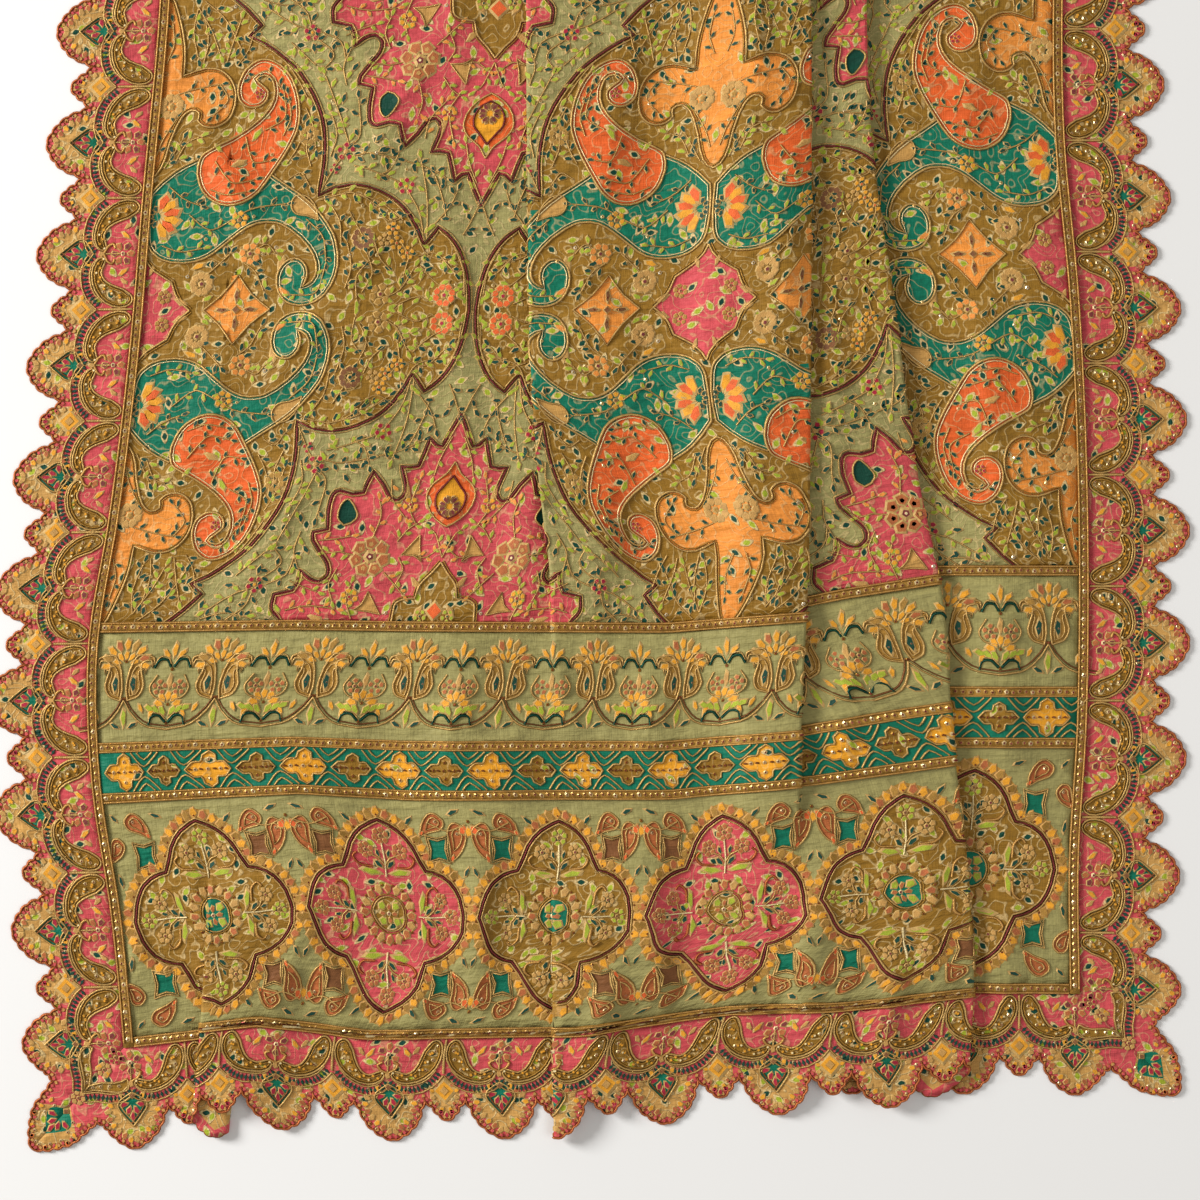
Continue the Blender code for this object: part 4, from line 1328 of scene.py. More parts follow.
EDGES = ((0, 0), (REPEAT_WIDE, REPEAT_LONG))
for outline in (CARTOUCHE, PALMETTE):
    line = open_part(outline, *EDGES)
    quarter.cord(line, "maroon", 1.3)
    quarter.cord(offset(line, -1.7), "zari", 1.1)
    quarter.cord(offset(line, 1.6), "zari", 0.8)
for outline in (SUB_CARTOUCHE, STAR, FLEUR):
    line = open_part(outline, *EDGES)
    quarter.cord(line, "zari", 1.6)
    quarter.cord(offset(line, 1.7), "antique", 0.9)
quarter.cord(ORANGE_PAISLEY, "zari", 1.7, True)
quarter.cord(offset(ORANGE_PAISLEY, 1.9, True), "bright", 0.8, True)
covered = inside(ORANGE_PAISLEY, TEAL_PAISLEY)
shown = np.roll(TEAL_PAISLEY, -int(np.argmax(covered)), axis=0)
shown = shown[~inside(ORANGE_PAISLEY, shown)]
quarter.cord(shown, "zari", 1.7)
quarter.cord(offset(shown, 1.9), "bright", 0.8)
quarter.cord(open_part(DIAMOND, *EDGES), "zari", 1.4)
quarter.cord(FLAME, "zari", 1.3)
quarter.cord(FLAME_HEART, "maroon", 1.3)
for outline in (PEAR, LOBE_LEAF):
    quarter.cord(outline, "zari", 1.3, True)

# %% Sprigs, flowers and leaves of the repeat
GREENS = ("lime", "forest")
# What sprigs lie on, then for each its foot, middle and tip, its leaves, and which green is first.
SPRIGS = (
    ("sage", (
        (181, 44, 177, 62, 167, 78, 5, 1), (183, 46, 181, 72, 175, 96, 6, 1),
        (188, 56, 196, 66, 200, 76, 4, 0), (112, 76, 120, 92, 126, 101, 5, 0),
        (128, 104, 120, 124, 108, 150, 8, 1), (126, 103, 134, 112, 131, 134, 5, 0),
        (130, 98, 142, 100, 158, 97, 6, 0), (132, 92, 146, 88, 162, 82, 5, 1),
        (104, 152, 112, 164, 98, 176, 5, 0), (96, 180, 84, 184, 68, 194, 6, 1),
        (96, 182, 92, 192, 80, 201, 5, 0), (120, 160, 116, 172, 104, 178, 4, 0),
        (206, 48, 211, 58, 214, 66, 3, 0), (64, 200, 80, 196, 100, 201, 6, 0),
        (84, 172, 93, 164, 101, 157, 4, 1), (116, 98, 119, 112, 114, 126, 4, 1),
        (166, 95, 178, 92, 192, 85, 5, 0), (194, 60, 191, 72, 185, 86, 4, 0),
        (122, 144, 119, 156, 123, 168, 4, 1), (146, 84, 156, 90, 160, 100, 4, 0),
    )),
    ("brown", (
        (39, 20, 48, 28, 56, 36, 4, 0), (130, 75, 150, 69, 167, 57, 6, 0),
        (176, 50, 183, 36, 197, 31, 5, 1), (201, 40, 208, 26, 210, 10, 5, 1),
        (128, 42, 126, 56, 119, 67, 5, 0), (162, 24, 154, 32, 150, 42, 4, 1),
        (190, 4, 180, 8, 168, 3, 4, 1), (147, 30, 140, 20, 141, 6, 4, 1),
        (172, 62, 160, 56, 152, 60, 3, 0), (9, 92, 14, 101, 19, 110, 3, 0),
        (50, 158, 56, 167, 59, 178, 5, 0), (43, 160, 46, 173, 50, 187, 5, 1),
        (80, 161, 89, 150, 97, 137, 5, 1), (97, 130, 103, 118, 106, 104, 5, 0),
        (28, 160, 30, 173, 27, 188, 4, 0), (88, 94, 94, 104, 98, 116, 4, 0),
        (72, 38, 80, 42, 86, 36, 4, 1), (66, 30, 74, 24, 80, 12, 4, 0),
        (132, 62, 138, 52, 142, 46, 4, 0), (112, 70, 134, 74, 156, 62, 9, 1),
        (133, 12, 136, 26, 132, 42, 6, 0), (144, 10, 150, 22, 146, 34, 5, 0),
        (156, 6, 168, 12, 176, 26, 7, 1), (178, 34, 190, 36, 202, 24, 6, 0),
        (180, 28, 190, 18, 204, 10, 6, 1), (166, 44, 172, 34, 170, 22, 4, 0),
        (16, 96, 22, 108, 30, 112, 5, 1), (104, 92, 100, 104, 101, 118, 5, 1),
        (90, 84, 98, 88, 104, 80, 3, 0), (22, 196, 32, 180, 38, 166, 6, 1),
        (26, 200, 40, 188, 52, 168, 7, 0), (22, 196, 20, 180, 24, 164, 5, 0),
    )),
    ("teal", (
        (28, 62, 42, 52, 56, 58, 5, 1), (58, 60, 72, 66, 90, 68, 5, 0),
        (104, 58, 116, 46, 119, 30, 6, 0), (119, 28, 114, 10, 98, 9, 6, 1),
    )),
    ("orange", (
        (42, 96, 54, 82, 68, 84, 5, 1), (60, 112, 66, 96, 76, 96, 4, 0),
        (72, 116, 84, 124, 82, 140, 6, 1), (80, 142, 70, 154, 60, 150, 5, 0),
    )),
    ("apricot", (
        (14, 140, 28, 144, 40, 146, 5, 0), (40, 146, 46, 136, 38, 126, 4, 1),
    )),
    ("pink", (
        (168, 148, 172, 134, 170, 124, 4, 0), (212, 82, 206, 95, 203, 107, 4, 1),
        (176, 110, 178, 123, 187, 134, 4, 0), (134, 150, 144, 149, 154, 147, 3, 0),
        (119, 176, 128, 180, 137, 183, 3, 1), (196, 158, 204, 160, 212, 155, 3, 0),
        (148, 168, 144, 178, 147, 188, 4, 1),
    )),
    ("teal", (
        (14, 80, 24, 72, 34, 68, 4, 0), (12, 42, 24, 38, 38, 40, 4, 1),
    )),
    ("orange", (
        (40, 78, 52, 74, 64, 76, 3, 0), (84, 112, 88, 124, 85, 138, 4, 0),
    )),
    ("apricot", (
        (4, 160, 8, 172, 6, 186, 4, 0), (3, 100, 7, 112, 14, 124, 4, 1),
    )),
    ("pink", (
        (157, 159, 148, 157, 140, 158, 4, 1), (178, 170, 186, 178, 192, 184, 3, 0),
        (216, 160, 210, 146, 206, 142, 3, 1), (196, 140, 190, 128, 194, 110, 5, 0),
        (184, 150, 190, 142, 196, 138, 4, 1), (118, 195, 132, 192, 150, 194, 6, 0),
        (160, 200, 156, 188, 158, 178, 5, 1), (186, 160, 190, 168, 186, 178, 3, 1),
    )),
)
SPRIG_SHAPE = 0.52    # width of a leaf against its length
for silk, sprigs in SPRIGS:
    for *places, leaves, first in sprigs:
        tops = GREENS if first else GREENS[::-1]
        if silk in ("orange", "apricot"):
            tops = ("forest", "beige")
        if silk == "pink":
            tops = GREENS if first else ("apricot", "lime")
        long = 8.4 if silk in ("sage", "brown") else 7.0
        quarter.sprig(np.reshape(places, (3, 2)), leaves, tops, long, long * SPRIG_SHAPE)

FLOWERS = (
    (167, 79, 5.5, 5, "red", "gold"), (126, 101, 6.0, 5, "red", "beige"),
    (97, 178, 5.5, 5, "red", "gold"),
    (39.5, 17, 7.5, 9, "beige", "maroon"), (69.5, 36, 7.0, 7, "apricot", "maroon"),
    (142, 45, 7.5, 9, "copper", "forest"), (156, 9, 7.0, 6, "antique", "maroon"),
    (197, 9, 7.5, 8, "orange", "red"), (101, 112, 6.5, 8, "antique", "beige"),
    (164, 42, 4.6, 5, "gold", "orange"), (171, 36, 4.6, 5, "gold", "orange"),
    (161, 51, 4.6, 5, "gold", "orange"), (156, 44, 4.2, 5, "beige", "brown"),
    (10, 132, 8.0, 8, "beige", "antique"), (61, 58, 5.5, 6, "gold", "copper"),
    (66.5, 139.5, 3.4, 5, "red", "maroon"), (158, 186, 5.5, 6, "gold", "red"),
    (190, 126, 5.0, 5, "gold", "red"), (16, 9, 4.5, 6, "antique", "maroon"),
    (206, 198, 4.6, 5, "lime", "forest"), (120, 90, 3.6, 4, "red", "forest"),
)
FLOWER_SCALE = 1.12
for x, y, reach, count, top, heart in FLOWERS:
    quarter.flower(x, y, reach * FLOWER_SCALE, count, top, heart)
quarter.petals(7, 61, 6, 18, 9, ("gold", "orange"), "zari", 0.1, 0.0, 2.3)
quarter.petals(8, 61, 5, 8, 4, "forest", "zari", 0.3, math.pi, 2.4)
quarter.petals(168, 160, 7, 14.0, 12.0, "rust", "zari", 0.25, 0.2)
quarter.petals(168, 160, 7, 10.5, 5.0, "beige", "copper", 0.55, 0.2)
quarter.form("bead", 168, 160, 0.2, 10.0, 10.0, "zari", "maroon", 1.0)
quarter.form("bead", 168, 160, 0.2, 4.0, 4.0, "red", "bright", 1.4)
quarter.petals(216, 127, 7, 8, 3.6, ("maroon", "copper"), "zari", 0.2, math.pi, 5.6)
for angle in (0, UP, math.pi, -UP):
    quarter.leaf(63 + 3 * math.cos(angle), 3 * math.sin(angle), angle, 12, 4.6, "copper")
    quarter.sequin(63 + 8 * math.cos(angle), 8 * math.sin(angle), 2.8)
quarter.form("block", 63, 0, 0.0, 6, 6, "zari", "copper", 0.9)
quarter.form("block", 216, 194.5, 0.0, 15, 15, "zari", "orange", 0.8)
quarter.leaf(33, 3, 2.7, 12, 5.5, "beige")
quarter.leaf(5, 22, 1.2, 9, 4, "beige")
for x, y, turn, colour in ((31, 26, 0.4, "gold"), (98, 8.5, 2.6, "apricot"), (88, 24, 1.2, "beige"),
                           (208, 190, 2.2, "beige"), (52, 92, 0.4, "beige"), (132, 198, 0.3, "beige"),
                           (186, 112, 1.4, "beige"), (196, 172, 0.8, "beige"), (64, 108, 1.0, "lime")):
    quarter.leaf(x, y, turn, 12, 5.6, colour)
LOOSE_LEAVES = (
    (118, 118), (144, 106), (152, 90), (188, 80), (174, 86), (122, 140), (88, 168), (76, 178),
    (110, 190), (100, 164), (134, 96), (156, 104), (190, 92), (203, 70), (92, 198), (124, 152),
    (150, 12), (164, 24), (140, 92), (172, 98), (206, 84), (116, 180), (128, 92), (66, 186),
    (184, 12), (190, 28), (120, 68), (150, 66), (130, 54), (174, 46),
    (82, 12), (78, 28), (48, 10), (14, 104), (40, 108), (106, 100), (16, 176), (44, 178))
for i, (x, y) in enumerate(LOOSE_LEAVES):
    quarter.leaf(x, y, 0.9 * i, 9.0, 4.8, GREENS[i % 2])
SEQUIN_SPOTS = (
    (30, 22), (52, 30), (78, 36), (86, 40), (105, 20), (97, 31), (119, 42), (70, 60), (40, 46),
    (50, 88), (78, 100), (86, 134), (58, 150), (8, 116), (24, 148), (44, 132), (140, 66),
    (152, 34), (134, 34), (182, 22), (204, 16), (146, 100), (114, 134), (90, 190), (176, 152),
    (150, 172), (200, 116), (182, 196), (30, 172), (12, 190), (46, 196), (166, 90))
for i, (x, y) in enumerate(SEQUIN_SPOTS):
    quarter.sequin(x, y, 2.8, "bright" if i % 3 else "ivory", "antique")
quarter.tell("quarter repeat")

# %% [markdown]
# ## The end panels
# Each end panel is sage silk with a band of vases above, a teal ribbon across, and a row of
# seven quatrefoils below. Each band is drawn once and set side by side at its own pitch.

# %% A quatrefoil
QUATREFOIL_QUARTER = ((0, 61, 1), (7, 58), (14.5, 53), (21, 45), (25, 36), (28.5, 29.5, 1),
                      (37, 27.5), (45, 22.5), (50.5, 15), (53.5, 7), (55, 0, 1))


def whole(points):
    """A whole outline from its quarter, mirrored down and then left."""
    half = list(points) + [(x, -y, *sharp) for x, y, *sharp in reversed(points[:-1])]
    return half + [(-x, y, *sharp) for x, y, *sharp in reversed(half[1:-1])]


def draw_quatrefoil(ground, accent):
    """A medallion with its ring of petals, middle flower and four sprigs."""
    medal = Drawing()
    outline = smooth(whole(QUATREFOIL_QUARTER), 4.0, True)
    medal.fill(offset(outline, 8.4, True), "antique")
    medal.fill(outline, ground)
    for distance, colour, width in ((-1.6, "zari", 1.2), (0.0, "maroon", 1.3), (1.6, "zari", 1.2)):
        medal.cord(offset(outline, distance, True), colour, width, True)
    ring = offset(outline, 5.4, True)
    scallops = ("gold", "rust", "gold", "antique", "gold", "brown")
    medal.beads_on(ring, 6.0, "petal", 9.0, 7.4, "beige", scallops, True, high=0.5)
    places, _ = spaced(offset(outline, 3.4, True), 9.6, True)
    for x, y in places:
        medal.sequin(x, y, 2.7, "antique", "maroon")
    disc = np.array([(11 * math.cos(a), 11 * math.sin(a)) for a in np.arange(24) * math.pi / 12])
    medal.fill(disc, "teal" if ground == "brown" else "brown", "zari", 1.0)
    medal.cord(disc * 1.14, "antique", 0.8, True)
    medal.petals(0, 0, 4, 10.5, 7.5, "lime", "zari", 0.3, math.pi / 4)
    medal.petals(0, 0, 4, 7, 4, "rust", "zari", 0.2)
    medal.form("bead", 0, 0, 0.0, 3.4, 3.4, "bright", "maroon", 1.1)
    medal.petals(0, 0, 16, 20.5, 6.6, ("rust", "beige"), "zari", 0.60)
    for i in range(16):
        angle = (i + 0.5) * math.pi / 8
        medal.sequin(18.5 * math.cos(angle), 18.5 * math.sin(angle), 2.4, "antique", "maroon")
    for quarter_turn in range(4):
        arm = Drawing()
        arm.cord(smooth([(0, 24), (0.5, 34), (0, 46)], 4.0), "bright", 1.2)
        for side in (1, -1):
            arm.leaf(side * 0.5, 25.5, UP - side * 1.42, 19.0, 6.4, "lime")
            arm.leaf(side * 0.5, 28.5, UP - side * 0.8, 10.0, 5.0, "forest")
            arm.cord(smooth([(0, 31), (side * 4, 36), (side * 9.5, 38)], 3.0), "zari", 1.2)
            arm.flower(side * 11.5, 41, 5.8, 6, accent, "maroon")
            hook = smooth([(side * 8, 30), (side * 17, 31), (side * 21, 36), (side * 18, 39)], 3.0)
            arm.cord(hook, accent, 1.6)
            arm.leaf(side * 2.5, 35.5, UP - side * 0.3, 7.5, 3.8, "forest")
        arm.flower(0, 50.5, 6.2, 6, "lime" if ground == "brown" else accent, "copper")
        stretch = 1.0 if quarter_turn % 2 == 0 else 0.91
        medal.add(arm, turn=-quarter_turn * UP, scale=stretch)
    return medal


brown_medal = draw_quatrefoil("brown", "beige")
pink_medal = draw_quatrefoil("pink", "rust")


# %% What stands between the quatrefoils
def draw_paisley(long, wide):
    """A small upright paisley with its tip curled to the left."""
    paisley = Drawing()
    shares = ((0, 0), (0.42, 0.14), (0.5, 0.38), (0.30, 0.66), (-0.02, 0.86), (-0.42, 1.0, 1),
              (-0.38, 0.78), (-0.40, 0.5), (-0.46, 0.26), (-0.3, 0.06))
    outline = smooth([(wide * x, long * y, *sharp) for x, y, *sharp in shares], 3.0, True)
    paisley.fill(outline, "rust", "zari", 1.3)
    inner = outline * (0.55, 0.55) + (0.2, long * 0.16)
    paisley.cord(inner, "zari", 1.0, True)
    paisley.sequin(wide * 0.04, long * 0.28, 2.6, "bright", "maroon")
    paisley.leaf(-wide * 0.20, long * 0.78, 1.9, long * 0.28, wide * 0.3, "orange")
    return paisley


def draw_patch(x, y, colour):
    """A small hollow-sided square with a double rim."""
    patch = Drawing()
    outline = smooth([(-6.2, -7.2, 1), (0, -5.6), (6.2, -7.2, 1), (4.9, 0), (6.2, 7.2, 1), (0, 5.6),
                      (-6.2, 7.2, 1), (-4.9, 0)], 4.0, True) + (x, y)
    patch.fill(outline, colour, "zari", 1.3)
    patch.cord((outline - (x, y)) * 1.28 + (x, y), "zari", 1.0, True)
    return patch


def draw_gap_group(square):
    """Paisleys, two small squares and dark leaves, standing on the line y = 0."""
    group = Drawing()
    tall = draw_paisley(25, 13)
    low = draw_paisley(19, 12)
    for side in (1, -1):
        group.add(tall, side * 8.5, 13, mirror_x=-side)
        group.add(low, side * 17, 11, mirror_x=side, turn=-side * 1.25)
        group.add(draw_patch(side * 22, 30, square))
        group.leaf(side * 3, 4, UP - side * 1.2, 12, 4.4, "forest")
        group.leaf(side * 36, 8, UP - side * 0.8, 11, 4.2, "forest")
        group.leaf(side * 0.8, 40, UP - side * 0.5, 10, 4.0, "forest")
        group.cord(smooth([(side * 2, 14), (side * 15, 18), (side * 27, 13)], 4.0), "zari", 1.2)
    group.petals(0, 12, 3, 11, 6.5, ("orange", "gold", "orange"), "zari", 0.2, UP, 1.2)
    group.sequin(0, 12, 2.8)
    return group


teal_group = draw_gap_group("teal")
brown_group = draw_gap_group("copper")


# %% The vase band
def draw_paisley_pair():
    """Two upright paisleys under a fan of petals, with a leaf below."""
    pair = Drawing()
    for side in (1, -1):
        outline = smooth([(side * 2.6, 215, 1), (side * 10.5, 218), (side * 13.5, 225), (side * 11, 233),
                          (side * 11, 239), (side * 17, 240.5), (side * 18, 236), (side * 18.5, 242),
                          (side * 9, 244), (side * 5, 240), (side * 2.4, 232), (side * 1.4, 222)],
                         3.0, True)
        pair.fill(outline, "antique", "zari", 1.5)
        pair.cord((outline - (side * 7, 226)) * (0.6, 0.66) + (side * 6.9, 225), "zari", 1.0, True)
        pair.leaf(side * 6.7, 217.5, UP + 0.06 * side, 16, 6.6, "forest")
        pair.sequin(side * 6.6, 225, 2.4, "bright", "maroon")
        vine = smooth([(0, 215), (side * 6, 206), (side * 16, 198.5), (side * 31.5, 196)], 3.5)
        pair.cord(vine, "zari", 1.4)
        pair.cord(vine + (side * 0.8, 2.0), "copper", 1.0)
        pair.leaf(side * 1.5, 196.5, UP - side * 1.1, 11, 4.4, "forest")
        pair.leaf(side * 18, 202, UP - side * 0.4, 10, 4.8, "gold")
    pair.petals(0, 238, 9, 18, 5.8, ("gold", "rust", "gold", "antique"), "zari", 0.42, UP, 3.3)
    pair.petals(0, 238, 5, 10, 4.4, "gold", "zari", 0.2, UP, 2.6)
    pair.leaf(0, 195.5, UP, 17, 6.0, "lime")
    pair.sequin(0, 216, 2.6)
    pair.sequin(0, 240, 2.8)
    return pair


def draw_lotus_vase():
    """A lotus on scrolls, with a curled vase and a bud above."""
    vase = Drawing()
    for side in (1, -1):
        scroll = [(side * 1, 200.5), (side * 6, 205), (side * 11.5, 204), (side * 13, 199)]
        arch = [(side * 1, 236), (side * 4, 240.5), (side * 9, 240.5), (side * 12, 235.5)]
        for points in (scroll, arch):
            line = smooth(points, 2.5)
            vase.cord(line, "forest", 1.7)
            vase.cord(line + (0, 2.0), "zari", 1.0)
        for i in range(3):
            turn = UP - side * (0.6 + 0.3 * i)
            vase.form("petal", side * (3.5 + 4.6 * i), 208.0 + 0.9 * i, turn, 10.0, 5.4, "zari", "lime",
                      0.8)
        vase.flower(side * 6.6, 223, 5.6, 5, "rust", "maroon")
        vase.cord(smooth([(side * 2, 215), (side * 10, 217), (side * 13.5, 223), (side * 9, 231)], 3.0),
                  "zari", 1.3)
        vase.leaf(side * 1.5, 241, UP - side * 0.75, 10.0, 4.8, "gold")
        vase.leaf(side * 17, 206, UP - side * 0.5, 9.0, 4.4, "gold")
    vase.petals(0, 211, 5, 11, 6, "gold", "zari", 0.2, UP, 2.6)
    vase.leaf(0, 220, UP, 13, 5.0, "beige")
    vase.leaf(0, 240, UP, 14, 5.4, "gold")
    vase.sequin(0, 234.5, 2.8)
    vase.sequin(0, 212, 2.8)
    vase.sequin(0, 200, 2.6)
    return vase


# %% Put one end panel together
MEDAL_PITCH = 121.6
MEDAL_MARGIN = 67.2
PAIRS = 14
PAIR_PITCH = 62.95
PAIR_MARGIN = 22.8
WIDE = INNER_WIDTH * 1000
LONG = INNER_LENGTH * 1000
PANEL = PALLU_LENGTH * 1000
MEDALS = 7
BAND_FOOT = 2
BAND_MIDDLE = 75.5
BAND_TOP = 149
panel = Drawing()
for i in range(MEDALS):
    panel.add(pink_medal if i % 2 else brown_medal, MEDAL_MARGIN + MEDAL_PITCH * i, BAND_MIDDLE)
for i in range(MEDALS - 1):
    middle = MEDAL_MARGIN + MEDAL_PITCH * (i + 0.5)
    group = teal_group if i % 2 else brown_group
    panel.add(group, middle, BAND_FOOT)
    panel.add(group, middle, BAND_TOP, mirror_y=-1)
for side, edge in ((1, 0), (-1, WIDE)):
    half = Drawing()
    half.add(draw_paisley(20, 12), 17, 9, turn=-1.1)
    half.add(draw_paisley(17, 10), 10, 21, turn=0.3)
    half.add(draw_patch(27, 33, "teal"))
    half.leaf(34, 6, 0.3, 11, 4.2, "forest")
    half.leaf(6, 42, 1.4, 11, 4.2, "forest")
    half.leaf(6, 5, 0.8, 9, 3.8, "forest")
    panel.add(half, edge, BAND_FOOT, mirror_x=side)
    panel.add(half, edge, BAND_TOP, mirror_x=side, mirror_y=-1)
pair, vase = draw_paisley_pair(), draw_lotus_vase()
for i in range(PAIRS):
    panel.add(pair, PAIR_MARGIN + PAIR_PITCH * i, 0)
    if i < PAIRS - 1:
        panel.add(vase, PAIR_MARGIN + PAIR_PITCH * (i + 0.5), 0)
panel.tell("end panel")

# %% [markdown]
# ## The teal ribbon and the gold tapes
# The ribbon carries four-lobed crosses, gold and brown in turn, between double chevrons, and
# has a tape along each edge. A tape is woven gold with a row of sequins between two cords.

# %% The ribbon
RIBBON_LOW = STRIP_LOW * 1000
RIBBON_HIGH = STRIP_HIGH * 1000
RIBBON_MIDDLE = (RIBBON_LOW + RIBBON_HIGH) / 2
RIBBON_TAPE = 6.3
RIBBON_OVER = 5
ribbon = Drawing()
for i in range(2 * PAIRS - 1):
    x = PAIR_MARGIN + PAIR_PITCH / 2 * i
    wide, high = (13.0, 9.5) if i % 2 else (15.2, 11.8)
    tone = "brown" if i % 2 else "gold"
    lobe = ((0, high, 1), (wide * 0.28, high * 0.78), (wide * 0.31, high * 0.50),
            (wide * 0.38, high * 0.40, 1), (wide * 0.70, high * 0.40), (wide, 0, 1))
    cross = smooth(whole(lobe), 3.0, True)
    ribbon.fill(cross + (x, RIBBON_MIDDLE), tone, "zari", 1.4)
    rim = "antique" if i % 2 else "bright"
    for a, b in ((0, 0), (0.55, 0), (-0.55, 0), (0, 0.55), (0, -0.55)):
        ribbon.sequin(x + a * wide, RIBBON_MIDDLE + b * high, 3.0, rim)
    for a in (0.3, -0.3, 0.78, -0.78):
        ribbon.form("leaf", x + a * wide, RIBBON_MIDDLE, 0.0, 3.2, 1.8, "maroon", "copper", 0.7)
    middle = x + PAIR_PITCH / 4
    for side in (1, -1):
        y = RIBBON_MIDDLE + side * 12.2
        for reach, deep in ((10.5, 9.0), (6.0, 4.6)):
            half_way = y - side * deep * 0.62
            chevron = [(middle - reach, y), (middle - reach * 0.5, half_way), (middle, y - side * deep),
                       (middle + reach * 0.5, half_way), (middle + reach, y)]
            ribbon.cord(smooth(chevron, 4.5), "zari", 1.2)
for y in (RIBBON_LOW, RIBBON_HIGH - RIBBON_TAPE):
    ribbon.fill(rectangle(-RIBBON_OVER, y, WIDE + RIBBON_OVER, y + RIBBON_TAPE), "antique")


# %% A row of sequins between two cords
def draw_tape(length):
    """A tape along x from 0 to its length, with its middle on y = 0."""
    tape = Drawing()
    for y in (-2.7, 2.7):
        tape.cord(smooth([(0, y), (length, y)], 6.0), "beige", 1.3)
    places, _ = spaced(smooth([(0, 0), (length, 0)], 6.0), 4.4)
    for i, (x, y) in enumerate(places):
        tape.sequin(x, y + 0.4 * math.sin(2.1 * i), 3.5, "zari" if i % 4 else "bright", "maroon")
    return tape


ROW_MARGIN = 4
across_tape = draw_tape(WIDE - 2 * ROW_MARGIN)
along_tape = draw_tape(LONG)
for y in (RIBBON_LOW + RIBBON_TAPE / 2, RIBBON_HIGH - RIBBON_TAPE / 2):
    ribbon.add(across_tape, ROW_MARGIN, y)
ribbon.tell("ribbon")

# %% [markdown]
# ## The border
# Half a repeat of the border is drawn from the middle of a big lobe to the middle of a small
# one: a brown comma with gold beads, a striped rope under it, a teal drop with a red sprig in
# the big lobe and a yellow diamond in the small one. The edge is worked in small picots.

# %% Half a repeat, with x along the seam and y the depth
LOBE_EDGE = ((0, 68, 1), (6.5, 65.5, 1), (12, 61.5, 1), (16.8, 56, 1), (19.6, 49, 1), (22.5, 42, 1),
             (27.5, 47.5, 1), (31, 52.5, 1), (36, 56, 1))
PICOT = 1.3
HALF_PITCH = 36
EDGE_SHY = 0.15    # how far the border keeps from the seam, in millimetres


def picot_edge(points):
    """Small arcs from point to point, each bulging outwards."""
    line = []
    for (x0, y0, *_), (x1, y1, *_) in zip(points, points[1:]):
        out = np.array((y0 - y1, x1 - x0)) / math.hypot(x1 - x0, y1 - y0)
        for t in (0.0, 0.25, 0.5, 0.75):
            bulge = PICOT * math.sin(math.pi * t)
            line.append((x0 + (x1 - x0) * t + out[0] * bulge, y0 + (y1 - y0) * t + out[1] * bulge))
    line.append(points[-1][:2])
    return np.array(line)


HALF_EDGE = picot_edge(LOBE_EDGE)
COMMA = smooth([
    (27.5, 5), (31.5, 4.8), (34.3, 8.5), (34.5, 15), (31.5, 22), (26, 27.5), (19, 31), (11, 32),
    (5, 30), (2.2, 26.5), (3.5, 23.5), (7, 24.5), (12, 26), (17, 23.5), (20.5, 18), (23, 11)], 3.0, True)
ROPE = smooth([(33.5, 25.5), (28.5, 31), (21, 35), (12, 36.3), (5, 34.5), (0.6, 30.5)], 3.0)
DROP = smooth([(0, 32, 1), (4, 34.5), (8.3, 37.5), (9.5, 41.5), (7, 46), (3.2, 50.5), (0, 54, 1)], 3.0)
GOLD_RING = smooth([(0, 30, 1), (9, 36.5), (15.5, 42), (15, 49.5), (10.5, 56), (4.5, 61),
                    (0, 64, 1)], 3.5)
SMALL_RING = smooth([(36, 27, 1), (29.5, 32), (26.3, 38), (28, 45), (32, 50), (36, 53, 1)], 3.5)


